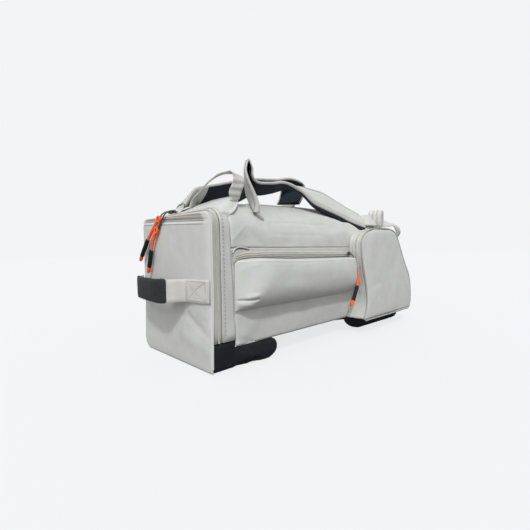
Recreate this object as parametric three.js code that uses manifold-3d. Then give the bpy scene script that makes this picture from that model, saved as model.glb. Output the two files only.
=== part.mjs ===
// A travel duffel bag of coated fabric. It has a zipped end flap, a bellows pocket and a boot pocket
// on the front, two padded shoulder straps, grab handles and two black skid feet.
// Millimetres. X runs along the bag from the zipped end, Y from the front wall to the back wall,
// and Z up from the floor. The finished group stands on the middle of its footprint.
import * as THREE from "three";
import { mergeVertices } from "three/addons/utils/BufferGeometryUtils.js";
import Module from "manifold-3d";

const wasm = await Module();
wasm.setup();

// Driving dimensions of the body
const LENGTH = 790;
const WIDTH = 300;
const END_HEIGHT = 330;
const BASE_Z = 43;
const FLAP_Z = 249;
const SEAM_X = 57;
const WALL = 2;
const GAP = 0.3;
const FRONT_RECESS = 2.4;
const FRONT_BULGE = 5;
const FRONT_EDGE_RISE = 4;
const BACK_BULGE = 8;
const RIGHT_END_BULGE = 12;

// Cross-sections of the body: crown height, and the run in Y and in Z of each rounded shoulder
const BODY_SECTIONS = [
  { x: 0, top: 330, inset: 46, drop: 46 },
  { x: 57, top: 336, inset: 54, drop: 58 },
  { x: 130, top: 354, inset: 88, drop: 90 },
  { x: 230, top: 363, inset: 105, drop: 106 },
  { x: 470, top: 366, inset: 105, drop: 108 },
  { x: 640, top: 352, inset: 92, drop: 94 },
  { x: 790, top: 328, inset: 70, drop: 70 },
];

// Share of the rows of an end panel that lie on its straight sides
const END_STRAIGHT_SHARE = 0.62;

// Steps round a cross-section: up a wall, round a shoulder, across the top and down the same way
const WALL_STEPS = 1;
const SHOULDER_STEPS = 5;
const TOP_STEPS = 2;
const BODY_STEPS = 2 * (WALL_STEPS + SHOULDER_STEPS) + TOP_STEPS;

// Soft dents pressed into the walls, as a middle, a reach along each direction and a depth
const TOP_DENTS = [
  { x: 92, z: 266, reachX: 26, reachZ: 26, depth: 5 },
  { x: 210, z: 332, reachX: 90, reachZ: 16, depth: 2.5 },
  { x: 400, z: 306, reachX: 130, reachZ: 14, depth: 2 },
];
const FLAP_DENTS = [
  { y: 40, z: 92, reachY: 34, reachZ: 22, depth: 5 },
  { y: 95, z: 128, reachY: 50, reachZ: 26, depth: 4 },
  { y: 232, z: 60, reachY: 60, reachZ: 40, depth: 3 },
];

// End flap, its hem band and the zip that runs round it
const FLAP_BULGE = 8;
const FLAP_FOOT_Z = 1.5;
const FLAP_RIM_X = 1;
const FLAP_LOW_CORNER = 30;
const HEM_Z = 301;
const HEM_STEP = 2.5;
const ZIP_TAPE_START = 3.8;
const ZIP_TAPE_END = 19.7;
const ZIP_TAPE_RECESS = 1.4;
const ZIP_TAPE_WALL = 1.2;
const ZIP_COIL_X = 11.5;
const ZIP_COIL_RADIUS = 2.6;
const GUSSET_FOOT_Z = 59.3;

// Skid feet
const LEFT_FOOT_FLAT_TO = 142;
const LEFT_FOOT_END = 182;
const LEFT_FOOT_NOSE = { reach: 6, low: 4, z: 27, upper: 40, round: 8 };
const CORNER_BASE_TOP = GUSSET_FOOT_Z - 2 * GAP;
const RIGHT_FOOT_START = 470;
const RIGHT_FOOT_FLAT_FROM = 504;
const RIGHT_FOOT_FLAT_TO = 646;
const RIGHT_FOOT_END = 766;
const RIGHT_FOOT_NOSE = { reach: 4, low: 12 };
const RIGHT_FOOT_KNEE = { x: 732, z: 22, from: 706, low: 4, rise: 26 };
const FOOT_TOP = BASE_Z - GAP;
const FOOT_ENDS = [
  { y: 0, inset: 7 },
  { y: 3, inset: 2 },
  { y: 10, inset: 0 },
  { y: WIDTH - 10, inset: 0 },
  { y: WIDTH - 3, inset: 2 },
  { y: WIDTH, inset: 7 },
];

// Bellows pocket on the front, and its section from the zip down to the lip and back underneath
const POCKET_LEFT = 59;
const POCKET_RIGHT = 474;
const POCKET_END_ROUND = 26;
const POCKET_GATHER = 0.12;
const POCKET_ZIP_Z = 231;
const POCKET_ZIP_RIGHT = 488;
const POCKET_SECTION = [
  { at: 0, z: 108, depth: 0 },
  { at: 0.1, z: 113, depth: 22 },
  { at: 0.22, z: 122, depth: 40 },
  { at: 0.34, z: 136, depth: 48 },
  { at: 0.5, z: 153, depth: 43 },
  { at: 0.7, z: 182, depth: 28 },
  { at: 0.88, z: 210, depth: 11 },
  { at: 1, z: 222, depth: 4 },
];
const POCKET_TUCK = { x: 78, z: 139, reachX: 13, reachZ: 9, depth: 9 };

// Boot pocket at the right end: its outline by height, and how far it stands out from the front
const BOOT_ROWS = [
  { z: 46, left: 475, right: 760, out: 60 },
  { z: 64, left: 485, right: 773, out: 59 },
  { z: 100, left: 497, right: 782, out: 56 },
  { z: 145, left: 498, right: 782, out: 52 },
  { z: 190, left: 492, right: 758, out: 48 },
  { z: 240, left: 489, right: 734, out: 44 },
  { z: 270, left: 494, right: 719, out: 42 },
  { z: 291, left: 522, right: 702, out: 41 },
  { z: 301, left: 566, right: 676, out: 40 },
];
const BOOT_BOTTOM = { z: 44, from: 510, to: 725 };
const BOOT_CROWN = 7;
const PIPING_RADIUS = 2.2;
const BOOT_ZIP_DEPTH = 0.45;
const BOOT_STOPS = 40;
const BOOT_ZIP_FROM = 6;
const BOOT_ZIP_TO = 28;

// Handle on the end flap: 48 mm webbing with a padded black grip
const HANDLE_Z = 163;
const HANDLE_HALF = 24;
const WEBBING = 2.4;
const HANDLE_PATH = [
  { x: -1.9, y: 6 },
  { x: -5.3, y: 40 },
  { x: -7.4, y: 64 },
  { x: -13, y: 76 },
  { x: -32, y: 87 },
  { x: -47, y: 104 },
  { x: -50, y: 150 },
  { x: -44, y: 205 },
  { x: -30, y: 252 },
  { x: -11, y: 279 },
  { x: -2.2, y: 294 },
];
const GRIP_FROM = 0.49;
const GRIP_TO = 0.8;
const GRIP_HALF = 27;
const GRIP_THICK = 9;
const GRIP_WALL = 1.6;
const GRIP_SQUARENESS = 0.45;

// Webbing loop across the top, and the flap of fabric that it is sewn to
const HAUL_X = 82;
const HAUL_HALF = 18;
const HAUL_PATH = [
  { y: 186, z: 351 },
  { y: 178, z: 371 },
  { y: 146, z: 389 },
  { y: 112, z: 404 },
  { y: 84, z: 412 },
  { y: 56, z: 415 },
  { y: 33, z: 412 },
  { y: 21, z: 402 },
  { y: 21, z: 386 },
  { y: 30, z: 368 },
  { y: 36, z: 347 },
];
const YOKE_FROM = 24;
const YOKE_TO = 103;
const YOKE_NARROW = 66;
const YOKE_START_STEP = 3;
const YOKE_WIDE_STEP = 4.4;

// Shoulder straps: middle line, turn of the width in plan, tilt of the near edge, and half width
const NEAR_STRAP = [
  { x: 155, y: 32, z: 347, turn: 22, tilt: -4, half: 24 },
  { x: 150, y: 46, z: 376, turn: 24, tilt: -8, half: 34 },
  { x: 146, y: 54, z: 405, turn: 28, tilt: -11, half: 37 },
  { x: 148, y: 60, z: 434, turn: 30, tilt: -13, half: 36 },
  { x: 159, y: 61, z: 456, turn: 28, tilt: -12, half: 34 },
  { x: 173, y: 63, z: 436, turn: 26, tilt: -8, half: 36 },
  { x: 185, y: 68, z: 411, turn: 30, tilt: 4, half: 37 },
  { x: 207, y: 70, z: 395, turn: 40, tilt: 14, half: 37 },
  { x: 235, y: 66, z: 401, turn: 42, tilt: 9, half: 37 },
  { x: 285, y: 65, z: 412, turn: 40, tilt: 2, half: 37 },
  { x: 336, y: 64, z: 410, turn: 32, tilt: -20, half: 37 },
  { x: 380, y: 62, z: 398, turn: 28, tilt: -43, half: 37 },
  { x: 438, y: 56, z: 387, turn: 34, tilt: -52, half: 37 },
  { x: 490, y: 49, z: 372, turn: 33, tilt: -50, half: 37 },
  { x: 545, y: 38, z: 352, turn: 31, tilt: -48, half: 36 },
  { x: 600, y: 24, z: 334, turn: 28, tilt: -46, half: 33 },
];
const FAR_STRAP = [
  { x: 62, y: 212, z: 356, turn: 30, tilt: 8, half: 26 },
  { x: 98, y: 210, z: 382, turn: 31, tilt: 28, half: 34 },
  { x: 134, y: 206, z: 391, turn: 33, tilt: 30, half: 37 },
  { x: 172, y: 200, z: 400, turn: 34, tilt: 34, half: 37 },
  { x: 212, y: 192, z: 411, turn: 34, tilt: 32, half: 37 },
  { x: 287, y: 178, z: 432, turn: 34, tilt: 12, half: 37 },
  { x: 340, y: 166, z: 441, turn: 28, tilt: 7, half: 37 },
  { x: 382, y: 152, z: 447, turn: 8, tilt: 8, half: 37 },
  { x: 403, y: 141, z: 432, turn: -30, tilt: 10, half: 37 },
  { x: 396, y: 137, z: 408, turn: -46, tilt: 5, half: 37 },
  { x: 378, y: 136, z: 381, turn: -48, tilt: 0, half: 34 },
];
const NEAR_STRAP_STEPS = 30;
const FAR_STRAP_STEPS = 20;

// Section of a strap, across as a share of its half width and out from its middle line
const STRAP_COVER = [
  [-1, -2.5], [-1, 2], [-0.6, 5.2], [0, 6.5], [0.6, 5.2], [1, 2], [1, -2.5],
  [0.93, -2.5], [0.93, 0.6], [0.56, 3.1], [0, 4.4], [-0.56, 3.1], [-0.93, 0.6], [-0.93, -2.5],
];
const STRAP_PAD = [
  [0.89, -2.5], [0.89, -0.5], [0.55, 2.2], [0, 3.5], [-0.55, 2.2], [-0.89, -0.5], [-0.89, -2.5],
  [-0.55, -5.8], [0, -7], [0.55, -5.8],
];

// Webbing that carries the straps
const NEAR_TAB = [
  { x: 161, y: 13.8, z: 314.9, turn: -76, tilt: 0, half: 11 },
  { x: 160, y: 18.9, z: 328.8, turn: -50, tilt: 0, half: 12 },
  { x: 155.3, y: 30.9, z: 345.2, turn: -10, tilt: 0, half: 13 },
];
const FAR_TAB = [
  { x: 42, y: 214, z: 338.5, turn: 20, tilt: 0, half: 14 },
  { x: 50, y: 213, z: 343, turn: 26, tilt: 4, half: 16 },
  { x: 61.5, y: 212, z: 355.6, turn: 30, tilt: 8, half: 18 },
];
const FAR_END_TAB = [
  { x: 377.3, y: 136, z: 380, turn: -48, tilt: 0, half: 20 },
  { x: 375.5, y: 136, z: 372, turn: -46, tilt: 0, half: 20 },
  { x: 392, y: 148, z: 367.4, turn: -40, tilt: 0, half: 20 },
  { x: 424, y: 168, z: 367.4, turn: -38, tilt: 0, half: 20 },
];
const NEAR_WEBBING = [
  { x: 600.9, y: 23.8, z: 333.7, turn: 28, tilt: -46, half: 23 },
  { x: 632, y: 15, z: 336, turn: 20, tilt: -42, half: 23 },
  { x: 664, y: 7, z: 340, turn: 14, tilt: -38, half: 23 },
  { x: 700, y: 0, z: 342, turn: 10, tilt: -30, half: 23 },
  { x: 745, y: -5, z: 338, turn: 6, tilt: -16, half: 23 },
  { x: 784, y: -4, z: 326, turn: 0, tilt: -6, half: 23 },
  { x: 808, y: 2, z: 304, turn: 0, tilt: 0, half: 23 },
  { x: 812, y: 10, z: 282, turn: 0, tilt: 0, half: 23 },
  { x: 800, y: 18, z: 260, turn: 4, tilt: 0, half: 23 },
  { x: 797.1, y: 22, z: 236, turn: 6, tilt: 0, half: 23 },
];
const LOCK_ROW = 1.55;
const LOCK_LONG = 42;
const LOCK_HALF = 31;
const LOCK_THICK = 13;
const LOCK_SIDE_BARS = 10;
const LOCK_CHANNEL = 6.4;
const LOCK_WINDOW = { share: 0.28, at: 0.2 };

// Zip sliders and their pulls
const SLIDER_LONG = 15;
const SLIDER_WIDE = 10;
const SLIDER_THICK = 4.4;
const BRIDGE_RADIUS = 4.2;
const BRIDGE_WIRE = 1.3;
const PULLER_WIRE = 1.5;
const END_SLIDERS = [
  {
    name: "a",
    step: 7.25,
    puller: [{ x: 2, y: 177, z: 346 }, { x: -6.5, y: 178, z: 338 }, { x: -8.5, y: 180, z: 322 },
      { x: -13.5, y: 180.7, z: 318.1 }],
  },
  {
    name: "b",
    step: 7.1,
    puller: [{ x: 2, y: 162, z: 346 }, { x: -6.5, y: 167, z: 336 }, { x: -8.6, y: 189, z: 297 },
      { x: -9.4, y: 193.6, z: 292.6 }, { x: -13.9, y: 193.8, z: 292.4 }],
  },
];
const POCKET_PULLER = [
  { x: 474, y: -20.5, z: 225 },
  { x: 477, y: -19, z: 219.5 },
  { x: 481.8, y: -18.5, z: 218.6 },
];
const CORD_RADIUS = 2.2;
const SLEEVE_RADIUS = 4;
const TIP_RADIUS = 3.2;
const KNOT_RADIUS = 5.2;
const KNOT_WIRE = 2;
const SLEEVE_GAP = 0.6;
const PULLS = [
  {
    name: "end_a",
    cord: [{ x: -13.5, y: 184.6, z: 315 }, { x: -13.7, y: 208, z: 298 }, { x: -14, y: 236.6, z: 274.4 }],
    sleeve: { x: -14, y: 273.9, z: 234.9 },
    tip: { x: -13.2, y: 284.9, z: 223.6 },
  },
  {
    name: "end_b",
    cord: [{ x: -14, y: 196, z: 289 }, { x: -14.4, y: 207, z: 272 }, { x: -14.8, y: 218.9, z: 248.9 }],
    sleeve: { x: -14.8, y: 232.7, z: 208.4 },
    tip: { x: -14.4, y: 240, z: 195 },
  },
  {
    name: "pocket",
    cord: [{ x: 482, y: -19, z: 214 }, { x: 483, y: -26, z: 190 }, { x: 484, y: -31, z: 152 }],
    sleeve: { x: 474, y: -31, z: 112 },
    tip: { x: 469, y: -30, z: 96 },
  },
];

const FABRIC = { color: 0xc9cac5, roughness: 0.62, metalness: 0 };
const BLACK_FABRIC = { color: 0x26292d, roughness: 0.8, metalness: 0 };
const BLACK_MESH = { color: 0x23272b, roughness: 0.9, metalness: 0 };
const WEBBING_GREY = { color: 0xcfcdc6, roughness: 0.8, metalness: 0 };
const ZIP_GREY = { color: 0xc2c3b4, roughness: 0.5, metalness: 0 };
const PLASTIC_GREY = { color: 0xcbcac4, roughness: 0.4, metalness: 0 };
const ORANGE = { color: 0xff6a35, roughness: 0.55, metalness: 0 };
const SLEEVE_BLACK = { color: 0x1d1e20, roughness: 0.6, metalness: 0 };
const DARK_METAL = { color: 0x4a4a48, roughness: 0.35, metalness: 0.9 };

const bag = new THREE.Group();

function add(name, geometry, look) {
  const mesh = new THREE.Mesh(geometry, new THREE.MeshStandardMaterial(look));
  mesh.name = name;
  bag.add(mesh);
  return mesh;
}

const point = (x, y, z) => new THREE.Vector3(x, y, z);
const mix = THREE.MathUtils.lerp;
const radians = THREE.MathUtils.degToRad;

// One column of a table, read as a smooth curve along another column.
function column(rows, key, name) {
  const at = rows.map((row) => row[key]);
  const value = rows.map((row) => row[name]);
  const last = rows.length - 1;
  const slope = (i) => {
    const before = Math.max(i - 1, 0);
    const after = Math.min(i + 1, last);
    return (value[after] - value[before]) / (at[after] - at[before]);
  };
  return (t) => {
    let i = 0;
    while (i < last - 1 && t > at[i + 1]) i += 1;
    const span = at[i + 1] - at[i];
    const u = THREE.MathUtils.clamp((t - at[i]) / span, 0, 1);
    const v = 1 - u;
    const ends = v * v * (1 + 2 * u) * value[i] + u * u * (3 - 2 * u) * value[i + 1];
    return ends + span * u * v * (v * slope(i) - u * slope(i + 1));
  };
}

// How deep a table of dents presses in at one place.
function pressed(dents, keyA, keyB, reachA, reachB, a, b) {
  let depth = 0;
  for (const dent of dents) {
    const da = (a - dent[keyA]) / dent[reachA];
    const db = (b - dent[keyB]) / dent[reachB];
    depth += dent.depth * Math.exp(-da * da - db * db);
  }
  return depth;
}

// A closed geometry from corner points and four-sided faces, with its faces pointing out.
function solid(points, quads, triangles = []) {
  const index = [...triangles.flat()];
  for (const [a, b, c, d] of quads) index.push(a, b, c, a, c, d);
  let volume = 0;
  for (let i = 0; i < index.length; i += 3) {
    const [a, b, c] = [points[index[i]], points[index[i + 1]], points[index[i + 2]]];
    volume += a.dot(b.clone().cross(c));
  }
  if (volume < 0) index.reverse();
  const geometry = new THREE.BufferGeometry().setFromPoints(points);
  geometry.setIndex(index);
  geometry.computeVertexNormals();
  return geometry;
}

// A wall of even thickness behind an outer face at(u, v). Its outside is the side of du x dv, and a
// looped wall closes on itself along u.
function wall(at, nu, nv, thick, loop = false) {
  const columns = loop ? nu : nu + 1;
  const step = 1e-3;
  const bounded = (u) => (loop ? u : THREE.MathUtils.clamp(u, 0, 1));
  const outer = [];
  const inner = [];
  for (let j = 0; j <= nv; j += 1) {
    for (let i = 0; i < columns; i += 1) {
      const [u, v] = [i / nu, j / nv];
      const [low, high] = [Math.max(v - step, 0), Math.min(v + step, 1)];
      const along = at(bounded(u + step), v).sub(at(bounded(u - step), v));
      const up = at(u, high).sub(at(u, low));
      const face = at(u, v);
      outer.push(face);
      inner.push(face.clone().addScaledVector(along.cross(up).normalize(), -thick));
    }
  }
  const front = (i, j) => j * columns + (i % columns);
  const back = (i, j) => front(i, j) + outer.length;
  const quads = [];
  for (let j = 0; j < nv; j += 1) {
    for (let i = 0; i < nu; i += 1) {
      quads.push([front(i, j), front(i + 1, j), front(i + 1, j + 1), front(i, j + 1)]);
      quads.push([back(i, j), back(i, j + 1), back(i + 1, j + 1), back(i + 1, j)]);
    }
  }
  for (let i = 0; i < nu; i += 1) {
    quads.push([front(i, 0), back(i, 0), back(i + 1, 0), front(i + 1, 0)]);
    quads.push([front(i, nv), front(i + 1, nv), back(i + 1, nv), back(i, nv)]);
  }
  for (let j = 0; j < nv && !loop; j += 1) {
    quads.push([front(0, j), front(0, j + 1), back(0, j + 1), back(0, j)]);
    quads.push([front(nu, j), back(nu, j), back(nu, j + 1), front(nu, j + 1)]);
  }
  return solid([...outer, ...inner], quads);
}

// Places along a strap: middle point, direction across it to the near edge, and direction out.
function strapFrame(rows, index) {
  const numbered = rows.map((row, i) => ({ ...row, i }));
  const path = new THREE.CatmullRomCurve3(rows.map((row) => point(row.x, row.y, row.z)));
  const share = index / (rows.length - 1);
  const turn = radians(column(numbered, "i", "turn")(index));
  const tilt = radians(column(numbered, "i", "tilt")(index));
  const level = Math.cos(tilt);
  const across = point(-Math.sin(turn) * level, -Math.cos(turn) * level, Math.sin(tilt));
  const forward = path.getTangent(share);
  const out = across.clone().cross(forward).normalize();
  return { middle: path.getPoint(share), across, forward, out, half: column(numbered, "i", "half")(index) };
}

// A closed solid through rings of equal count, with flat ends filled by the first ring's outline.
function loft(rings, outline) {
  const count = outline.length;
  const top = (rings.length - 1) * count;
  const quads = [];
  for (let k = 0; k < top; k += count) {
    for (let i = 0; i < count; i += 1) {
      const next = (i + 1) % count;
      quads.push([k + i, k + next, k + count + next, k + count + i]);
    }
  }
  const ends = [];
  const against = THREE.ShapeUtils.isClockWise(outline);
  for (const face of THREE.ShapeUtils.triangulateShape(outline, [])) {
    const start = against ? face : [...face].reverse();
    ends.push(start);
    ends.push([...start].reverse().map((corner) => corner + top));
  }
  const sides = new Set(quads.map(([first, second]) => `${first} ${second}`));
  const clash = ends.some((end) => end.some((corner, i) => sides.has(`${corner} ${end[(i + 1) % 3]}`)));
  return solid(rings.flat(), quads, clash ? ends.map((end) => [...end].reverse()) : ends);
}

// A section carried along the rows of a strap.
function strap(rows, section, steps, from = 0, to = rows.length - 1) {
  const rings = [];
  for (let k = 0; k <= steps; k += 1) {
    const { middle, across, out, half } = strapFrame(rows, mix(from, to, k / steps));
    const place = ([share, height]) =>
      middle.clone().addScaledVector(across, share * half).addScaledVector(out, height);
    rings.push(section.map(place));
  }
  return loft(rings, section.map(([share, height]) => new THREE.Vector2(share * rows[0].half, height)));
}

// A round line through frames that give its middle and two directions square to it.
function roundLine(frames, radius, sides) {
  const outline = [];
  for (let i = 0; i < sides; i += 1) {
    const angle = (2 * Math.PI * i) / sides;
    outline.push(new THREE.Vector2(radius * Math.cos(angle), radius * Math.sin(angle)));
  }
  const ring = ({ middle, side, out }) =>
    outline.map((spot) => middle.clone().addScaledVector(side, spot.x).addScaledVector(out, spot.y));
  return loft(frames.map(ring), outline);
}

const band = (thick) => [[-1, 0], [-1, thick], [0, thick], [1, thick], [1, 0], [0, 0]];

// A round cord along a smooth line through a few places.
function cord(places, radius, steps, sides) {
  const ring = [];
  for (let i = 0; i < sides; i += 1) {
    const angle = (2 * Math.PI * i) / sides;
    ring.push(new THREE.Vector2(radius * Math.cos(angle), radius * Math.sin(angle)));
  }
  const path = new THREE.CatmullRomCurve3(places);
  return new THREE.ExtrudeGeometry(new THREE.Shape(ring), { steps, extrudePath: path, bevelEnabled: false });
}

// Joins and cuts of closed geometries.
function toManifold(geometry) {
  const bare = geometry.clone();
  bare.deleteAttribute("normal");
  bare.deleteAttribute("uv");
  const merged = mergeVertices(bare, 1e-3);
  const mesh = new wasm.Mesh({
    numProp: 3,
    vertProperties: new Float32Array(merged.getAttribute("position").array),
    triVerts: new Uint32Array(merged.index.array),
  });
  return new wasm.Manifold(mesh);
}

function fromManifold(manifold) {
  const mesh = manifold.getMesh();
  const geometry = new THREE.BufferGeometry();
  geometry.setAttribute("position", new THREE.BufferAttribute(new Float32Array(mesh.vertProperties), 3));
  geometry.setIndex(new THREE.BufferAttribute(new Uint32Array(mesh.triVerts), 1));
  geometry.computeVertexNormals();
  return geometry;
}

const joined = (...parts) => fromManifold(parts.map(toManifold).reduce((whole, part) => whole.add(part)));
const cut = (whole, ...holes) =>
  fromManifold(holes.map(toManifold).reduce((rest, hole) => rest.subtract(hole), toManifold(whole)));

// Body: a place on the cross-section at x. Steps run from a low height on the front wall over the top
// to the same height on the back wall, and a depth presses the place in.
const bodyTop = column(BODY_SECTIONS, "x", "top");
const bodyInset = column(BODY_SECTIONS, "x", "inset");
const bodyDrop = column(BODY_SECTIONS, "x", "drop");

function onBody(x, step, low, depth = 0) {
  const back = step > BODY_STEPS / 2;
  const climb = back ? BODY_STEPS - step : step;
  const [top, inset, drop] = [bodyTop(x), bodyInset(x), bodyDrop(x)];
  const turn = THREE.MathUtils.clamp((climb - WALL_STEPS) / SHOULDER_STEPS, 0, 1) * (Math.PI / 2);
  const inward = new THREE.Vector2(Math.cos(turn) / inset, -Math.sin(turn) / drop).normalize();
  let y = inset * (1 - Math.cos(turn));
  let z = top - drop * (1 - Math.sin(turn));
  if (climb < WALL_STEPS) z = mix(low, z, climb / WALL_STEPS);
  const level = climb - WALL_STEPS - SHOULDER_STEPS;
  if (level > 0) y = mix(inset, WIDTH - inset, level / TOP_STEPS);
  y += inward.x * depth;
  z += inward.y * depth;
  return point(x, back ? WIDTH - y : y, z);
}

// Directions along a round line on the body: along X, and out from the wall.
function bodyFrame(x, step, low, lift) {
  const spot = onBody(x, step, low);
  const middle = onBody(x, step, low, -lift);
  return { middle, side: point(1, 0, 0), out: middle.clone().sub(spot).normalize() };
}

// Height in Y of the front of the body: a shallow bulge below the seam, the rounded shoulder above it.
function frontFace(x, z) {
  if (z > FLAP_Z) {
    const drop = bodyDrop(x);
    const rise = Math.max(0, z - bodyTop(x) + drop) / drop;
    return bodyInset(x) * (1 - Math.sqrt(1 - rise * rise));
  }
  const along = (x - SEAM_X) / (LENGTH - SEAM_X);
  const up = (z - BASE_Z) / (FLAP_Z - BASE_Z);
  const swell = Math.sin(Math.PI * up) * Math.min(1, FRONT_EDGE_RISE * along, FRONT_EDGE_RISE * (1 - along));
  return FRONT_RECESS - FRONT_BULGE * swell;
}

// Seat of a pocket on the front, just clear of the wall and of its top seam.
const pocketSeat = (x, z) => (z > FLAP_Z ? frontFace(x, z) - 2 * GAP : Math.min(frontFace(x, z), 0) - GAP);

function addBody() {
  const right = LENGTH - GAP;
  const frontAt = (u, v) => {
    const [x, z] = [mix(SEAM_X + GAP, right, u), mix(BASE_Z, FLAP_Z - GAP, v)];
    return point(x, frontFace(x, z), z);
  };
  const backAt = (u, v) => {
    const [x, z] = [mix(right, SEAM_X + GAP, u), mix(BASE_Z, FLAP_Z - GAP, v)];
    return point(x, WIDTH + BACK_BULGE * Math.sin(Math.PI * u) * Math.sin(Math.PI * v), z);
  };
  const topAt = (u, v) => {
    const x = mix(SEAM_X + GAP, right, u);
    const spot = onBody(x, v * BODY_STEPS, FLAP_Z);
    if (spot.y > WIDTH / 2) return spot;
    return onBody(x, v * BODY_STEPS, FLAP_Z, pressed(TOP_DENTS, "x", "z", "reachX", "reachZ", x, spot.z));
  };
  add("front_panel", wall(frontAt, 10, 4, WALL), FABRIC);
  add("back_panel", wall(backAt, 8, 4, WALL), FABRIC);
  add("top_panel", wall(topAt, 18, BODY_STEPS, WALL), FABRIC);

  const base = new THREE.BoxGeometry(right - SEAM_X - 2 * GAP, WIDTH - FRONT_RECESS - 2 * (WALL + GAP), WALL);
  base.translate((right + SEAM_X) / 2, (WIDTH + FRONT_RECESS) / 2, BASE_Z + WALL / 2);
  add("base_panel", base, FABRIC);
}

// A panel that closes an end: rows go up straight sides, then round the shoulders to the crown.
function endRow(v, low, top, inset, drop) {
  const straight = END_STRAIGHT_SHARE;
  if (v < straight) return { z: mix(low, top - drop, v / straight), inset: 0 };
  const angle = (Math.PI / 2) * ((v - straight) / (1 - straight));
  return { z: top - drop + drop * Math.sin(angle), inset: inset * (1 - Math.cos(angle)) };
}

function addRightEnd() {
  const at = (u, v) => {
    const row = endRow(v, BASE_Z, bodyTop(LENGTH) - GAP, bodyInset(LENGTH), bodyDrop(LENGTH));
    const y = mix(FRONT_RECESS + row.inset, WIDTH - row.inset, u);
    const swell = Math.sin(Math.PI * u) ** 0.6 * Math.sin(Math.PI * v) ** 0.6;
    return point(LENGTH + WALL + RIGHT_END_BULGE * swell, y, row.z);
  };
  add("right_end_panel", wall(at, 8, 8, WALL), FABRIC);
}

// Zipped end: flap, zip tape, coil and the gusset band behind them
function flapSurface(y, z, share, height) {
  const swell = Math.sin(Math.PI * share) ** 0.5 * Math.sin(Math.PI * Math.min(height, 0.96)) ** 0.4;
  const dent = pressed(FLAP_DENTS, "y", "z", "reachY", "reachZ", y, z);
  const hem = HEM_STEP / (1 + Math.exp((HEM_Z - z) / 2));
  return FLAP_RIM_X - FLAP_BULGE * swell + dent * swell + hem * swell;
}

function addZippedEnd() {
  const flapAt = (u, v) => {
    const row = endRow(v, FLAP_FOOT_Z, END_HEIGHT, bodyInset(0), bodyDrop(0));
    const low = Math.max(0, FLAP_LOW_CORNER - (row.z - FLAP_FOOT_Z)) / FLAP_LOW_CORNER;
    const corner = FLAP_LOW_CORNER * (1 - Math.sqrt(1 - low * low)) * 0.8;
    const y = mix(WIDTH - row.inset - corner, row.inset, u);
    return point(flapSurface(y, row.z, u, v), y, row.z);
  };
  add("end_flap", wall(flapAt, 10, 14, WALL), FABRIC);

  const tapeAt = (u, v) =>
    onBody(mix(ZIP_TAPE_START, ZIP_TAPE_END, u), v * BODY_STEPS, GUSSET_FOOT_Z, ZIP_TAPE_RECESS);
  add("end_zip_tape", wall(tapeAt, 1, BODY_STEPS, ZIP_TAPE_WALL), ZIP_GREY);
  const gussetAt = (u, v) => onBody(mix(ZIP_TAPE_END + GAP, SEAM_X, u), v * BODY_STEPS, GUSSET_FOOT_Z);
  add("end_gusset", wall(gussetAt, 3, BODY_STEPS, WALL), FABRIC);

  const frames = [];
  const lift = ZIP_COIL_RADIUS + GAP - ZIP_TAPE_RECESS;
  for (let step = 0; step <= BODY_STEPS; step += 1) {
    frames.push(bodyFrame(ZIP_COIL_X, step, GUSSET_FOOT_Z, lift));
  }
  add("end_zip_coil", roundLine(frames, ZIP_COIL_RADIUS, 6), ZIP_GREY);
}

// Skid feet: a side outline carried across the bag, drawn in towards both ends
function foot(shape) {
  const outline = shape.extractPoints(5).shape;
  const box = new THREE.Box2().setFromPoints(outline);
  const centre = box.getCenter(new THREE.Vector2());
  const size = box.getSize(new THREE.Vector2());
  const rings = FOOT_ENDS.map(({ y, inset }) => outline.map((spot) => {
    const x = centre.x + (spot.x - centre.x) * (1 - (2 * inset) / size.x);
    const z = centre.y + (spot.y - centre.y) * (1 - (2 * inset) / size.y);
    return point(x, y, z);
  }));
  return loft(rings, outline);
}

function addFeet() {
  const corner = new THREE.Shape();
  corner.moveTo(ZIP_TAPE_START, 0);
  corner.lineTo(SEAM_X - GAP, 0);
  corner.lineTo(SEAM_X - GAP, CORNER_BASE_TOP);
  corner.lineTo(ZIP_TAPE_START, CORNER_BASE_TOP);
  add("corner_base", foot(corner), BLACK_FABRIC);

  const left = new THREE.Shape();
  const { reach, low, z: noseZ, upper, round } = LEFT_FOOT_NOSE;
  left.moveTo(SEAM_X, 0);
  left.lineTo(LEFT_FOOT_FLAT_TO, 0);
  left.quadraticCurveTo(LEFT_FOOT_END - reach, low, LEFT_FOOT_END, noseZ);
  left.quadraticCurveTo(LEFT_FOOT_END, upper, LEFT_FOOT_END - round, FOOT_TOP);
  left.lineTo(SEAM_X, FOOT_TOP);
  add("left_foot", foot(left), BLACK_FABRIC);

  const right = new THREE.Shape();
  const [nose, knee] = [RIGHT_FOOT_NOSE, RIGHT_FOOT_KNEE];
  right.moveTo(RIGHT_FOOT_START, FOOT_TOP);
  right.quadraticCurveTo(RIGHT_FOOT_START + nose.reach, nose.low, RIGHT_FOOT_FLAT_FROM, 0);
  right.lineTo(RIGHT_FOOT_FLAT_TO, 0);
  right.quadraticCurveTo(knee.from, knee.low, knee.x, knee.z);
  right.quadraticCurveTo(RIGHT_FOOT_END, knee.rise, RIGHT_FOOT_END, FOOT_TOP);
  add("right_foot", foot(right), BLACK_FABRIC);
}

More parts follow.
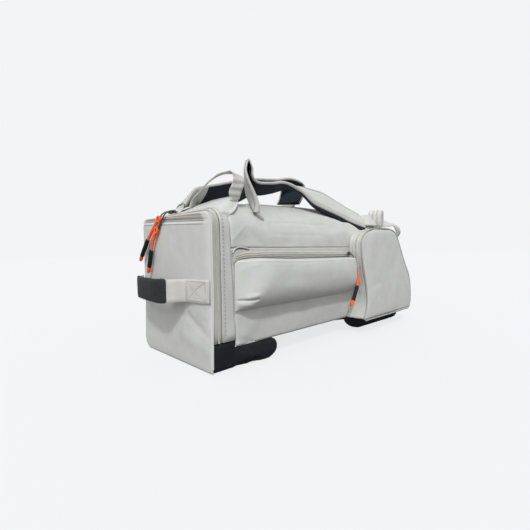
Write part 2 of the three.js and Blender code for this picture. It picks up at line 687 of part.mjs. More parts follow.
// Bellows pocket with its zip
function addFrontPocket() {
  const sectionZ = column(POCKET_SECTION, "at", "z");
  const sectionDepth = column(POCKET_SECTION, "at", "depth");
  const at = (u, v) => {
    const x = mix(POCKET_LEFT, POCKET_RIGHT, u);
    const z = sectionZ(v);
    const inLeft = THREE.MathUtils.clamp((x - POCKET_LEFT) / POCKET_END_ROUND, 0, 1);
    const inRight = THREE.MathUtils.clamp((POCKET_RIGHT - x) / POCKET_END_ROUND, 0, 1);
    const ends = Math.sqrt(1 - (1 - inLeft) ** 2) * Math.sqrt(1 - (1 - inRight) ** 2);
    const tuck = pressed([POCKET_TUCK], "x", "z", "reachX", "reachZ", x, z);
    const depth = Math.max(sectionDepth(v) * ends - tuck * ends, 0);
    return point(x, pocketSeat(x, z) - WALL - depth, z);
  };
  const gathered = (u) => u - POCKET_GATHER * Math.sin(2 * Math.PI * u);
  add("front_pocket", wall((u, v) => at(gathered(u), v), 18, 10, WALL), FABRIC);

  const tapeLow = POCKET_SECTION.at(-1).z + GAP;
  const tapeAt = (u, v) => {
    const [x, z] = [mix(SEAM_X + GAP, POCKET_ZIP_RIGHT, u), mix(tapeLow, FLAP_Z - GAP, v)];
    return point(x, pocketSeat(x, z) - ZIP_TAPE_WALL, z);
  };
  add("pocket_zip_tape", wall(tapeAt, 4, 2, ZIP_TAPE_WALL), ZIP_GREY);
  const coilY = pocketSeat(LENGTH / 2, tapeLow) - ZIP_TAPE_WALL - GAP - ZIP_COIL_RADIUS;
  const coil = [point(POCKET_LEFT + 8, coilY, POCKET_ZIP_Z), point(POCKET_ZIP_RIGHT, coilY, POCKET_ZIP_Z)];
  add("pocket_zip_coil", cord(coil, ZIP_COIL_RADIUS, 1, 8), ZIP_GREY);
}

// Boot pocket: face, gusset, piping and zip
const bootLeft = column(BOOT_ROWS, "z", "left");
const bootRight = column(BOOT_ROWS, "z", "right");
const bootOut = column(BOOT_ROWS, "z", "out");

function bootLoop() {
  const up = BOOT_ROWS.map((row) => point(row.left, 0, row.z));
  const down = [...BOOT_ROWS].reverse().map((row) => point(row.right, 0, row.z));
  const { z, from, to } = BOOT_BOTTOM;
  return new THREE.CatmullRomCurve3([...up, ...down, point(to, 0, z), point(from, 0, z)], true);
}

function addBootPocket() {
  const loop = bootLoop();
  const lowest = BOOT_ROWS[0].z;
  const highest = BOOT_ROWS.at(-1).z;
  const faceAt = (u, v) => {
    const z = mix(lowest, highest, Math.sin((Math.PI / 2) * v));
    const swell = Math.sin(Math.PI * u) ** 0.6 * Math.sin(Math.PI * Math.min(v, 0.97)) ** 0.5;
    const x = mix(bootLeft(z) + 2 * GAP, bootRight(z) - 2 * GAP, u);
    return point(x, -bootOut(z) - BOOT_CROWN * swell, z);
  };
  add("boot_pocket_face", wall(faceAt, 8, 10, WALL), FABRIC);

  const gussetAt = (u, v) => {
    const spot = loop.getPoint(u % 1);
    return point(spot.x, mix(-bootOut(spot.z) + WALL + GAP, pocketSeat(spot.x, spot.z), v), spot.z);
  };
  add("boot_pocket_gusset", wall(gussetAt, BOOT_STOPS, 3, WALL, true), FABRIC);

  // The piping stands just outside the outline, and the zip coil on the gusset half way back.
  const outside = (stop, clear, depthShare) => {
    const spot = loop.getPoint(stop / BOOT_STOPS);
    const ahead = loop.getTangent(stop / BOOT_STOPS);
    const out = point(-ahead.z, 0, ahead.x);
    const y = mix(-bootOut(spot.z) + 1, pocketSeat(spot.x, spot.z), depthShare);
    const middle = point(spot.x, y, spot.z).addScaledVector(out, clear);
    return { middle, side: point(0, 1, 0), out };
  };
  const pipe = [];
  for (let stop = 0; stop < BOOT_STOPS; stop += 1) pipe.push(outside(stop, PIPING_RADIUS + 3 * GAP, 0));
  add("boot_pocket_piping", roundLine(pipe, PIPING_RADIUS, 5), FABRIC);
  const zip = [];
  for (let stop = BOOT_ZIP_FROM; stop <= BOOT_ZIP_TO; stop += 1) {
    zip.push(outside(stop, ZIP_COIL_RADIUS + 2 * GAP, BOOT_ZIP_DEPTH));
  }
  add("boot_pocket_zip", roundLine(zip, ZIP_COIL_RADIUS, 6), ZIP_GREY);
}

// Handle on the end flap
function addEndHandle() {
  const rows = HANDLE_PATH.map(({ x, y }) => ({ x, y, z: HANDLE_Z, turn: 0, tilt: 90, half: HANDLE_HALF }));
  add("end_handle_webbing", strap(rows, band(WEBBING), 26), WEBBING_GREY);
  const last = rows.length - 1;
  const gripAt = (u, v) => {
    const { middle, across, out } = strapFrame(rows, mix(GRIP_FROM, GRIP_TO, v) * last);
    const angle = -2 * Math.PI * u;
    const corner = GRIP_SQUARENESS;
    const side = Math.sign(Math.cos(angle)) * Math.abs(Math.cos(angle)) ** corner;
    const face = Math.sign(Math.sin(angle)) * Math.abs(Math.sin(angle)) ** corner;
    const spot = middle.clone().addScaledVector(out, WEBBING / 2 + (face * GRIP_THICK) / 2);
    return spot.addScaledVector(across, side * GRIP_HALF);
  };
  add("end_handle_grip", wall(gripAt, 12, 8, GRIP_WALL, true), BLACK_FABRIC);
}

// Webbing loop across the top, and the yoke that it is sewn to
function addHaulLoop() {
  const rows = HAUL_PATH.map(({ y, z }) => ({ x: HAUL_X, y, z, turn: 90, tilt: 0, half: HAUL_HALF }));
  add("haul_loop", strap(rows, band(WEBBING), 26), WEBBING_GREY);
  const proud = -(WALL + 3 * GAP);
  const yokeAt = (u, v) => {
    const step = mix(YOKE_START_STEP, BODY_STEPS - YOKE_START_STEP, v);
    const climb = Math.min(step, BODY_STEPS - step) - YOKE_START_STEP;
    const widening = THREE.MathUtils.clamp(climb / (YOKE_WIDE_STEP - YOKE_START_STEP), 0, 1);
    return onBody(mix(YOKE_FROM, mix(YOKE_NARROW, YOKE_TO, widening), u), step, BASE_Z, proud);
  };
  add("top_yoke", wall(yokeAt, 4, BODY_STEPS - 2 * YOKE_START_STEP, WALL), FABRIC);
}

// Shoulder straps with their webbing
function addStraps() {
  add("near_strap_cover", strap(NEAR_STRAP, STRAP_COVER, NEAR_STRAP_STEPS), FABRIC);
  add("near_strap_pad", strap(NEAR_STRAP, STRAP_PAD, NEAR_STRAP_STEPS), BLACK_MESH);
  add("near_strap_tab", strap(NEAR_TAB, band(WEBBING), 4), WEBBING_GREY);
  add("near_strap_webbing", strap(NEAR_WEBBING, band(WEBBING), 24), WEBBING_GREY);
  add("far_strap_cover", strap(FAR_STRAP, STRAP_COVER, FAR_STRAP_STEPS), FABRIC);
  add("far_strap_pad", strap(FAR_STRAP, STRAP_PAD, FAR_STRAP_STEPS), BLACK_MESH);
  add("far_strap_tab", strap(FAR_TAB, band(WEBBING), 4), WEBBING_GREY);
  add("far_strap_end_tab", strap(FAR_END_TAB, band(WEBBING), 8), WEBBING_GREY);

  // Ladder lock: a frame round the webbing, with two windows between its bars
  const { middle, across, forward, out } = strapFrame(NEAR_WEBBING, LOCK_ROW);
  const frame = new THREE.BoxGeometry(LOCK_LONG, 2 * LOCK_HALF, LOCK_THICK);
  const inside = 2 * LOCK_HALF - LOCK_SIDE_BARS;
  const channel = new THREE.BoxGeometry(2 * LOCK_LONG, inside, LOCK_CHANNEL);
  const windows = [-1, 1].map((side) => {
    const window = new THREE.BoxGeometry(LOCK_LONG * LOCK_WINDOW.share, inside, LOCK_THICK);
    return window.translate(side * LOCK_LONG * LOCK_WINDOW.at, 0, LOCK_THICK / 2);
  });
  const lock = add("near_strap_lock", cut(frame, channel, ...windows), PLASTIC_GREY);
  const square = across.clone().addScaledVector(forward, -across.dot(forward)).normalize();
  lock.position.copy(middle.clone().addScaledVector(out, WEBBING / 2));
  lock.setRotationFromMatrix(new THREE.Matrix4().makeBasis(forward, square.negate(), out));
}

// A slider: a plate with a rounded bridge standing on it, and a wire from the bridge to its pull
function slider(place, turned, puller) {
  const plate = new THREE.BoxGeometry(SLIDER_LONG, SLIDER_WIDE, SLIDER_THICK);
  const bridge = new THREE.TorusGeometry(BRIDGE_RADIUS, BRIDGE_WIRE, 5, 10);
  bridge.rotateX(Math.PI / 2);
  bridge.translate(0, 0, SLIDER_THICK / 2 + BRIDGE_WIRE);
  const seated = new THREE.Matrix4().setPosition(place).multiply(turned);
  const body = joined(plate, bridge).applyMatrix4(seated);
  const crest = point(0, 0, SLIDER_THICK / 2 + BRIDGE_WIRE + BRIDGE_RADIUS).applyMatrix4(seated);
  const line = [crest, ...puller.map(({ x, y, z }) => point(x, y, z))];
  return joined(body, cord(line, PULLER_WIRE, 7, 5));
}

// A pull: a knotted orange cord, a black sleeve and an orange tip, hung from a slider
function addPull({ name, cord: places, sleeve, tip }) {
  const knotted = places.map(({ x, y, z }) => point(x, y, z));
  const ring = new THREE.TorusGeometry(KNOT_RADIUS, KNOT_WIRE, 5, 10);
  const ahead = knotted[1].clone().sub(knotted[0]).normalize();
  ring.rotateY(Math.PI / 2);
  ring.translate(knotted[0].x, knotted[0].y, knotted[0].z);
  ring.translate(...ahead.clone().multiplyScalar(-SLEEVE_RADIUS).toArray());
  add(`pull_${name}_cord`, joined(ring, cord(knotted, CORD_RADIUS, 4, 7)), ORANGE);

  const stretch = (from, to, radius, startGap) => {
    const way = to.clone().sub(from).normalize();
    const start = from.clone().addScaledVector(way, startGap);
    return cord([start, to], radius, 1, 10);
  };
  const sleeveEnd = point(sleeve.x, sleeve.y, sleeve.z);
  const tipEnd = point(tip.x, tip.y, tip.z);
  add(`pull_${name}_sleeve`, stretch(knotted.at(-1), sleeveEnd, SLEEVE_RADIUS, SLEEVE_GAP), SLEEVE_BLACK);
  add(`pull_${name}_tip`, stretch(sleeveEnd, tipEnd, TIP_RADIUS, SLEEVE_GAP), ORANGE);
}

function addZipPulls() {
  const over = 2 * ZIP_COIL_RADIUS + 2 * GAP + SLIDER_THICK / 2;
  const crosswise = new THREE.Matrix4().makeRotationZ(Math.PI / 2);
  for (const { name, step, puller } of END_SLIDERS) {
    const place = onBody(ZIP_COIL_X, step, GUSSET_FOOT_Z, ZIP_TAPE_RECESS - over);
    add(`slider_end_${name}`, slider(place, crosswise, puller), DARK_METAL);
  }
  const y = pocketSeat(LENGTH / 2, POCKET_ZIP_Z) - ZIP_TAPE_WALL - over - GAP;
  const place = point(POCKET_ZIP_RIGHT - SLIDER_LONG, y, POCKET_ZIP_Z);
  const upright = new THREE.Matrix4().makeRotationX(Math.PI / 2);
  add("slider_pocket", slider(place, upright, POCKET_PULLER), DARK_METAL);
  PULLS.forEach(addPull);
}

addBody();
addRightEnd();
addZippedEnd();
addFeet();
addFrontPocket();
addBootPocket();
addEndHandle();
addHaulLoop();
addStraps();
addZipPulls();

// The part's origin is on the floor, under the middle of its box.
const box = new THREE.Box3().setFromObject(bag, true);
const middle = box.getCenter(point(0, 0, 0));
bag.position.set(-middle.x, -middle.y, -box.min.z);

const duffel = new THREE.Group();
duffel.add(bag);

export default duffel;
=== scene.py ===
"""Looks of a travel duffel bag: pale coated fabric, coil zips, padded straps and black skid feet."""
import math

import bpy
import numpy as np
from mathutils import Matrix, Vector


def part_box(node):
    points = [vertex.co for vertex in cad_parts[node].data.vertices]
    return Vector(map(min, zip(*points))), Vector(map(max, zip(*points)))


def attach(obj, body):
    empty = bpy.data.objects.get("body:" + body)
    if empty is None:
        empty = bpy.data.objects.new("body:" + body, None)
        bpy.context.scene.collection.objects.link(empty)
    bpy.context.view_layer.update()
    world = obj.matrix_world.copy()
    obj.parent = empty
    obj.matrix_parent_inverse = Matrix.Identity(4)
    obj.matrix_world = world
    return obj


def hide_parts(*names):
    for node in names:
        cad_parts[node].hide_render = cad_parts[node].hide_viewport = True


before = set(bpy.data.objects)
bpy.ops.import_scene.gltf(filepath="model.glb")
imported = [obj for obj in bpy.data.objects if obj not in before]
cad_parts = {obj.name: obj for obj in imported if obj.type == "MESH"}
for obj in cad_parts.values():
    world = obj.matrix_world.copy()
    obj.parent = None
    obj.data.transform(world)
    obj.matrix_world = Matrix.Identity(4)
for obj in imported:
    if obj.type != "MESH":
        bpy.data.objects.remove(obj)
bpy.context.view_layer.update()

# The design frame of the bag: millimetres, X along the bag, Y from front to back, Z up from the floor
MM, CM = 0.001, 10.0
CORNER_LOW = np.array((3.8, 0.0, 0.0))
ORIGIN = np.array(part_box("corner_base")[0]) - MM * CORNER_LOW


def to_world(points):
    return np.asarray(points, float) * MM + ORIGIN


def unit(vectors):
    return vectors / np.maximum(np.linalg.norm(vectors, axis=-1, keepdims=True), 1e-9)


# Camera, as fitted to the photograph, in millimetres, degrees and pixels
CAMERA_AT = (-361.0, -532.9, 239.5)
CAMERA_YAW, CAMERA_PITCH, CAMERA_ROLL = 43.64, -2.27, -1.05
CAMERA_FOCAL_PX, IMAGE_PX, SENSOR_MM = 330.5, 530, 36.0
CAMERA_CLIP = (0.02, 100.0)


def aim(obj, ahead, at, roll=0.0):
    """Put a camera or a lamp into the scene at a place in metres, looking ahead."""
    side = unit(np.cross(ahead, (0, 0, 1)))
    above = np.cross(side, ahead)
    right = side * math.cos(roll) + above * math.sin(roll)
    up = above * math.cos(roll) - side * math.sin(roll)
    bpy.context.scene.collection.objects.link(obj)
    obj.matrix_world = Matrix(((*right, 0), (*up, 0), (*-ahead, 0), (*at, 1))).transposed()


def add_camera():
    data = bpy.data.cameras.new("photo_camera")
    data.sensor_fit = "HORIZONTAL"
    data.sensor_width = SENSOR_MM
    data.lens = CAMERA_FOCAL_PX * SENSOR_MM / IMAGE_PX
    data.clip_start, data.clip_end = CAMERA_CLIP
    camera = bpy.data.objects.new("photo_camera", data)
    yaw, pitch, roll = (math.radians(a) for a in (CAMERA_YAW, CAMERA_PITCH, CAMERA_ROLL))
    level = math.cos(pitch)
    ahead = np.array((math.sin(yaw) * level, math.cos(yaw) * level, math.sin(pitch)))
    aim(camera, ahead, to_world(CAMERA_AT), roll)
    bpy.context.scene.camera = camera


add_camera()

# Stage: a pale floor that runs into a pale surround. A sun has a name, a way, a strength and an angle in degrees.
STAGE_PALE = (0.896, 0.905, 0.922)
SUNS = (
    ("key", (0.46, 0.50, -0.73), 1.5, 5.0),
    ("fill", (0.88, 0.34, -0.34), 0.62, 60.0),
    ("behind", (-0.45, -0.62, -0.5), 0.2, 30.0),
)
SUN_AWAY = 3.0
AROUND_SKY, AROUND_STRENGTH = (0.98, 0.99, 1.0), 0.7
FLOOR_TONE, FLOOR_SEEN, FLOOR_SHADOW = 0.22, 0.12, 0.145
FLOOR_REACH, FLOOR_DROP = 30.0, 0.0006


def empty_tree(owner):
    owner.use_nodes = True
    owner.node_tree.nodes.clear()
    return owner.node_tree


def plain_shader(tree, kind, colour, strength=None):
    made = tree.nodes.new(kind)
    made.inputs["Color"].default_value = (*colour, 1)
    if strength is not None:
        made.inputs["Strength"].default_value = strength
    return made


def seen_or_lit(tree, seen, lit, out_kind):
    """One shader for what the camera sees and another for the light that comes from there."""
    path = tree.nodes.new("ShaderNodeLightPath")
    mixed = tree.nodes.new("ShaderNodeMixShader")
    out = tree.nodes.new(out_kind)
    tree.links.new(path.outputs["Is Camera Ray"], mixed.inputs["Fac"])
    tree.links.new(lit.outputs[0], mixed.inputs[1])
    tree.links.new(seen.outputs[0], mixed.inputs[2])
    tree.links.new(mixed.outputs["Shader"], out.inputs["Surface"])


def add_stage():
    scene = bpy.context.scene
    scene.view_settings.view_transform = "Standard"
    scene.world = bpy.data.worlds.new("surround")
    tree = empty_tree(scene.world)
    seen = plain_shader(tree, "ShaderNodeBackground", STAGE_PALE)
    around = plain_shader(tree, "ShaderNodeBackground", AROUND_SKY, AROUND_STRENGTH)
    seen_or_lit(tree, seen, around, "ShaderNodeOutputWorld")

    mesh = bpy.data.meshes.new("floor")
    corners = ((-1, -1), (1, -1), (1, 1), (-1, 1))
    mesh.from_pydata([(FLOOR_REACH * x, FLOOR_REACH * y, 0) for x, y in corners], [], [(0, 1, 2, 3)])
    floor = bpy.data.objects.new("floor", mesh)
    scene.collection.objects.link(floor)
    floor.location.z = -FLOOR_DROP
    look = bpy.data.materials.new("pale_floor")
    tree = empty_tree(look)
    lit = plain_shader(tree, "ShaderNodeBsdfDiffuse", (FLOOR_TONE, FLOOR_TONE, FLOOR_TONE))
    glow = plain_shader(tree, "ShaderNodeEmission", STAGE_PALE, 1 - FLOOR_SHADOW)
    soft = plain_shader(tree, "ShaderNodeBsdfDiffuse", (FLOOR_SEEN, FLOOR_SEEN, FLOOR_SEEN))
    both = tree.nodes.new("ShaderNodeAddShader")
    tree.links.new(glow.outputs[0], both.inputs[0])
    tree.links.new(soft.outputs[0], both.inputs[1])
    seen_or_lit(tree, both, lit, "ShaderNodeOutputMaterial")
    mesh.materials.append(look)
    for name, way, strength, angle in SUNS:
        data = bpy.data.lights.new(name, "SUN")
        data.energy = strength
        data.angle = math.radians(angle)
        ahead = unit(np.array(way))
        aim(bpy.data.objects.new(name, data), ahead, -SUN_AWAY * ahead)


add_stage()

# Materials. Every pattern is measured in metres in the part's own frame, or along and across a band by UV.
# A wave of scale 1 repeats every WAVE_PITCH millimetres of a band.
WAVE_PITCH = 3.14


def shades(colour, spread):
    return tuple(c * (1 - spread) for c in colour), tuple(c * (1 + spread) for c in colour)


def grey(tone):
    return (tone, tone, tone)


class Look:
    """A material under construction: a principled shader that is fed by patterns."""

    def __init__(self, name, rough, sheen=0.0, metallic=0.0, specular=0.35):
        self.material = bpy.data.materials.new(name)
        self.material.use_nodes = True
        self.tree = self.material.node_tree
        self.inputs = self.tree.nodes["Principled BSDF"].inputs
        self.inputs["Roughness"].default_value = rough
        self.inputs["Metallic"].default_value = metallic
        self.inputs["Specular IOR Level"].default_value = specular
        self.inputs["Sheen Weight"].default_value = sheen
        self.inputs["Sheen Roughness"].default_value = 0.5
        self.place = self.tree.nodes.new("ShaderNodeTexCoord").outputs
        self.normal = None

    def feed(self, socket, value):
        """Give an input a number, a colour or what another node puts out."""
        if isinstance(value, bpy.types.NodeSocket):
            self.tree.links.new(value, socket)
        else:
            socket.default_value = (*value, 1) if isinstance(value, tuple) else value

    def node(self, kind, **inputs):
        made = self.tree.nodes.new(kind)
        for name, value in inputs.items():
            self.feed(made.inputs[name.replace("_", " ")], value)
        return made

    def noise(self, scale, detail=3.0, rough=0.5):
        where = self.place["Object"]
        return self.node("ShaderNodeTexNoise", Vector=where, Scale=scale, Detail=detail, Roughness=rough).outputs[0]

    def cells(self, scale):
        return self.node("ShaderNodeTexVoronoi", Vector=self.place["Object"], Scale=scale).outputs["Distance"]

    def wave(self, scale, coords="UV", direction="X", turn=0.0):
        turned = self.node("ShaderNodeMapping", Vector=self.place[coords])
        turned.inputs["Rotation"].default_value = (0, 0, math.radians(turn))
        made = self.node("ShaderNodeTexWave", Vector=turned.outputs["Vector"], Scale=scale)
        made.bands_direction = direction
        return made.outputs["Fac"]

    def weave(self, scale):
        return self.math("MULTIPLY", self.wave(scale, "Object", "X"), self.wave(scale, "Object", "Z"))

    def math(self, operation, first, second):
        made = self.tree.nodes.new("ShaderNodeMath")
        made.operation = operation
        self.feed(made.inputs[0], first)
        self.feed(made.inputs[1], second)
        return made.outputs["Value"]

    def ramp(self, source, *stops):
        made = self.node("ShaderNodeValToRGB", Fac=source)
        for band, (at, colour) in zip(made.color_ramp.elements, stops):
            band.position = at
            band.color = (*colour, 1)
        return made.outputs["Color"]

    def blend(self, first, second, share, mode="MIX"):
        made = self.tree.nodes.new("ShaderNodeMix")
        made.data_type, made.blend_type = "RGBA", mode
        self.feed(made.inputs[0], share)
        for socket, value in zip([s for s in made.inputs if s.type == "RGBA"], (first, second)):
            self.feed(socket, value)
        return next(s for s in made.outputs if s.type == "RGBA")

    def tone(self, source, colour, spread, start, end):
        """A colour that drifts between a darker and a lighter shade with a pattern."""
        dark, light = shades(colour, spread)
        return self.ramp(source, (start, dark), (end, light))

    def rubbed(self, tone, colour, start, end, most=1.0):
        """A tone that turns to another colour on raised edges."""
        raised = self.tree.nodes.new("ShaderNodeNewGeometry").outputs["Pointiness"]
        return self.blend(tone, colour, self.ramp(raised, (start, grey(0)), (end, grey(most))))

    def colour(self, source):
        self.feed(self.inputs["Base Color"], source)

    def roughness(self, source, low, high):
        made = self.node("ShaderNodeMapRange", Value=source, To_Min=low, To_Max=high)
        self.feed(self.inputs["Roughness"], made.outputs["Result"])

    def bump(self, source, strength, distance):
        made = self.node("ShaderNodeBump", Height=source, Strength=strength, Distance=distance)
        if self.normal is not None:
            self.feed(made.inputs["Normal"], self.normal)
        self.normal = made.outputs["Normal"]
        self.feed(self.inputs["Normal"], self.normal)


def coated_fabric(name, colour, rough=0.58):
    """Matte coated cloth: fine crossed weave under a skin, soft crumple, faint mottling and rubbed raised edges."""
    look = Look(name, rough, sheen=0.03, specular=0.2)
    mottle = look.noise(34, 4, 0.55)
    grain = look.noise(900, 2, 0.6)
    tone = look.tone(mottle, colour, 0.045, 0.3, 0.72)
    speck = look.ramp(grain, (0.35, (0.955, 0.955, 0.95)), (0.65, grey(1)))
    tinted = look.blend(tone, speck, 1.0, "MULTIPLY")
    look.colour(look.rubbed(tinted, shades(colour, 0.1)[1], 0.5, 0.62))
    look.roughness(mottle, rough - 0.07, rough + 0.08)
    look.bump(look.weave(330), 0.12, 0.0002)
    look.bump(grain, 0.25, 0.0003)
    look.bump(look.noise(55), 0.16, 0.004)
    return look.material


def black_fabric(name, colour):
    """Coarser black cloth, paler where it is rubbed."""
    look = Look(name, 0.66, sheen=0.02, specular=0.18)
    mottle = look.noise(60, 4, 0.6)
    tone = look.tone(mottle, colour, 0.22, 0.3, 0.7)
    look.colour(look.rubbed(tone, tuple(2.4 * c for c in colour), 0.5, 0.6, 0.55))
    look.roughness(mottle, 0.55, 0.75)
    look.bump(look.weave(260), 0.3, 0.0003)
    look.bump(look.noise(140, 3, 0.6), 0.2, 0.002)
    return look.material


def spacer_mesh(name, colour):
    """Padded mesh: small cells over a soft crumple."""
    look = Look(name, 0.85, sheen=0.04, specular=0.14)
    cells = look.cells(420)
    look.colour(look.tone(cells, colour, 0.35, 0.1, 0.6))
    look.roughness(look.noise(90), 0.78, 0.92)
    look.bump(cells, 0.7, 0.0008)
    look.bump(look.noise(70), 0.25, 0.004)
    return look.material


def webbing(name, colour, pitch=1.6):
    """Woven band: a twill that runs across the UV, with ribs along it and softer, fuzzier high points."""
    look = Look(name, 0.78, sheen=0.18, specular=0.25)
    twill = look.wave(WAVE_PITCH / pitch, turn=38)
    ribs = look.wave(WAVE_PITCH / 2.4)
    fuzz = look.noise(500, 3, 0.6)
    tone = look.tone(twill, colour, 0.09, 0.15, 0.85)
    dusty = look.ramp(look.noise(45, 4, 0.55), (0.3, (0.94, 0.935, 0.93)), (0.7, grey(1)))
    look.colour(look.blend(tone, dusty, 1.0, "MULTIPLY"))
    look.roughness(fuzz, 0.7, 0.88)
    look.bump(twill, 0.55, 0.0006)
    look.bump(ribs, 0.25, 0.0004)
    look.bump(fuzz, 0.3, 0.0003)
    return look.material


def moulded(name, colour, rough, specular=0.45, metallic=0.0):
    """Moulded or cast small part: slight tone drift, fine grain and brighter rubbed edges."""
    look = Look(name, rough, metallic=metallic, specular=specular)
    drift = look.noise(120)
    tone = look.tone(drift, colour, 0.1, 0.3, 0.7)
    look.colour(look.rubbed(tone, tuple(min(1.0, 1.35 * c) for c in colour), 0.52, 0.66, 0.7))
    look.roughness(drift, rough - 0.08, rough + 0.1)
    look.bump(look.noise(900, 2, 0.6), 0.2, 0.0002)
    return look.material


def braided(name, colour):
    """Round cord of two plaits that cross."""
    look = Look(name, 0.55, sheen=0.1, specular=0.3)
    plaits = [look.wave(WAVE_PITCH / 1.5, turn=turn) for turn in (52, -52)]
    both = look.math("MAXIMUM", *plaits)
    look.colour(look.tone(both, colour, 0.12, 0.2, 0.8))
    look.roughness(look.noise(300), 0.45, 0.65)
    look.bump(both, 0.5, 0.0004)
    return look.material


# Each look has the material slot of the part and a material
# The grey thread is darker than the cloth: partly the thread's own colour, partly painted shade of the stitch holes.
THREAD_AND_HOLE_SHADE = webbing("thread_grey_hole_shade", (0.36, 0.354, 0.333), 0.8)
LOOKS = {
    "fabric": ("coated_fabric", coated_fabric("coated_fabric_pale", (0.618, 0.623, 0.6))),
    "binding": ("coated_fabric", coated_fabric("binding_pale", (0.52, 0.51, 0.49), 0.7)),
    # The piping's grey, darker than the cloth, is partly its own colour and partly painted shade along the seam it lies
    # in.
    "piping_seam_shade": ("coated_fabric", coated_fabric("piping_grey_seam_shade", (0.40, 0.40, 0.385), 0.7)),
    # The hem band's darker beige is partly the zip tape's own colour and partly painted shade of the recessed strip
    # above the hem.
    "hem_tape_and_shade": ("coated_fabric", coated_fabric("hem_band_tape_and_shade", (0.385, 0.365, 0.34), 0.7)),
    # The mouth look is a near-black strip that paints the shade in the gap under the pocket zip's hood.
    "mouth_shade": ("zip_tape", coated_fabric("zip_mouth_painted_shade", (0.07, 0.07, 0.068), 0.8)),
    "black": ("black_fabric", black_fabric("black_fabric_matte", (0.0105, 0.0128, 0.0162))),
    "grip": ("black_fabric", black_fabric("grip_fabric_black", (0.026, 0.029, 0.032))),
    "mesh": ("spacer_mesh", spacer_mesh("spacer_mesh_black", (0.019, 0.0245, 0.033))),
    "webbing": ("webbing", webbing("webbing_pale", (0.66, 0.645, 0.622))),
    "tape": ("zip_tape", webbing("zip_tape_pale", (0.63, 0.625, 0.6), 1.2)),
    "coil": ("zip_coil", moulded("zip_coil_nylon", (0.57, 0.57, 0.5), 0.5, 0.3)),
    "plastic": ("buckle_plastic", moulded("buckle_plastic_pale", (0.60, 0.59, 0.56), 0.42)),
    "orange": ("orange_cord", braided("orange_cord_braid", (1.0, 0.125, 0.025))),
    "sleeve": ("pull_sleeve", moulded("sleeve_rubber_black", (0.010, 0.0105, 0.012), 0.6, 0.25)),
    "metal": ("slider_metal", moulded("slider_metal_dark", (0.14, 0.135, 0.125), 0.4, 0.5, 0.85)),
    "thread_hole_shade": ("coated_fabric", THREAD_AND_HOLE_SHADE),
    "band_thread_hole_shade": ("webbing", THREAD_AND_HOLE_SHADE),
    "black_thread": ("black_fabric", webbing("thread_black", (0.03, 0.032, 0.036), 0.8)),
}


# Curves and soft relief
def mix(a, b, t):
    return a + (b - a) * t


def ease(t):
    t = np.clip(t, 0, 1)
    return t * t * (3 - 2 * t)


def params(nu, nv):
    return np.meshgrid(np.linspace(0, 1, nu), np.linspace(0, 1, nv), indexing="ij")


def turns(count):
    return np.linspace(0, 2 * np.pi, count, endpoint=False)


def squared(wave, power):
    """A sine or cosine with flatter tops, for rounded oblongs."""
    return np.sign(wave) * np.abs(wave) ** power


def run_along(path):
    return np.concatenate([[0], np.cumsum(np.linalg.norm(np.diff(path, axis=0), axis=1))])


def columns_at(stops, run, rows):
    return np.stack([np.interp(stops, run, column) for column in rows.T], -1)


def reader(at, value):
    """A table column read as a smooth curve along another column."""
    at, value = np.array(at, float), np.array(value, float)
    last = len(at) - 1
    before, after = np.maximum(np.arange(last + 1) - 1, 0), np.minimum(np.arange(last + 1) + 1, last)
    slope = (value[after] - value[before]) / (at[after] - at[before])

    def read(t):
        t = np.asarray(t, float)
        i = np.clip(np.searchsorted(at, t, side="left") - 1, 0, last - 1)
        span = at[i + 1] - at[i]
        u = np.clip((t - at[i]) / span, 0, 1)
        v = 1 - u
        ends = v * v * (1 + 2 * u) * value[i] + u * u * (3 - 2 * u) * value[i + 1]
        return ends + span * u * v * (v * slope[i] - u * slope[i + 1])

    return read


def smooth_line(points, closed=False):
    """A smooth curve through points, read by place in the list; it bends with the spacing of the points."""
    pts = np.array(points, float)
    count = len(pts)

    def at(t):
        t = np.atleast_1d(np.asarray(t, float))
        i = np.floor(t).astype(int) if closed else np.clip(np.floor(t).astype(int), 0, count - 2)
        w = (t - i)[:, None]
        if closed:
            p0, p1, p2, p3 = (pts[(i + k) % count] for k in (-1, 0, 1, 2))
        else:
            p1, p2 = pts[i], pts[i + 1]
            p0 = np.where((i > 0)[:, None], pts[np.maximum(i - 1, 0)], 2 * pts[0] - pts[1])
            p3 = np.where((i + 2 < count)[:, None], pts[np.minimum(i + 2, count - 1)], 2 * pts[-1] - pts[-2])
        gap = [np.maximum(np.linalg.norm(b - a, axis=1, keepdims=True) ** 0.5, 1e-4)
               for a, b in ((p0, p1), (p1, p2), (p2, p3))]
        t1 = ((p1 - p0) / gap[0] - (p2 - p0) / (gap[0] + gap[1]) + (p2 - p1) / gap[1]) * gap[1]
        t2 = ((p2 - p1) / gap[1] - (p3 - p1) / (gap[1] + gap[2]) + (p3 - p2) / gap[2]) * gap[1]
        return p1 + w * t1 + w ** 2 * (3 * (p2 - p1) - 2 * t1 - t2) + w ** 3 * (2 * (p1 - p2) + t1 + t2)

    return at


LATTICE = np.random.default_rng(20).uniform(-1, 1, (29, 29, 29))
FOLD_FADE, FOLD_FADE_LEAST = 1.5, 4.0


def rumple(points, height, size):
    """Smooth noise up to a height, with bumps of about a size, both in millimetres."""
    q = np.asarray(points, float) / size
    cell = np.floor(q).astype(int)
    f = ease(q - cell)
    total = 0.0
    for corner in np.ndindex(2, 2, 2):
        weight = np.prod(np.where(np.array(corner) == 1, f, 1 - f), axis=-1)
        spot = (cell + corner) % LATTICE.shape[0]
        total = total + weight * LATTICE[spot[..., 0], spot[..., 1], spot[..., 2]]
    return height * total


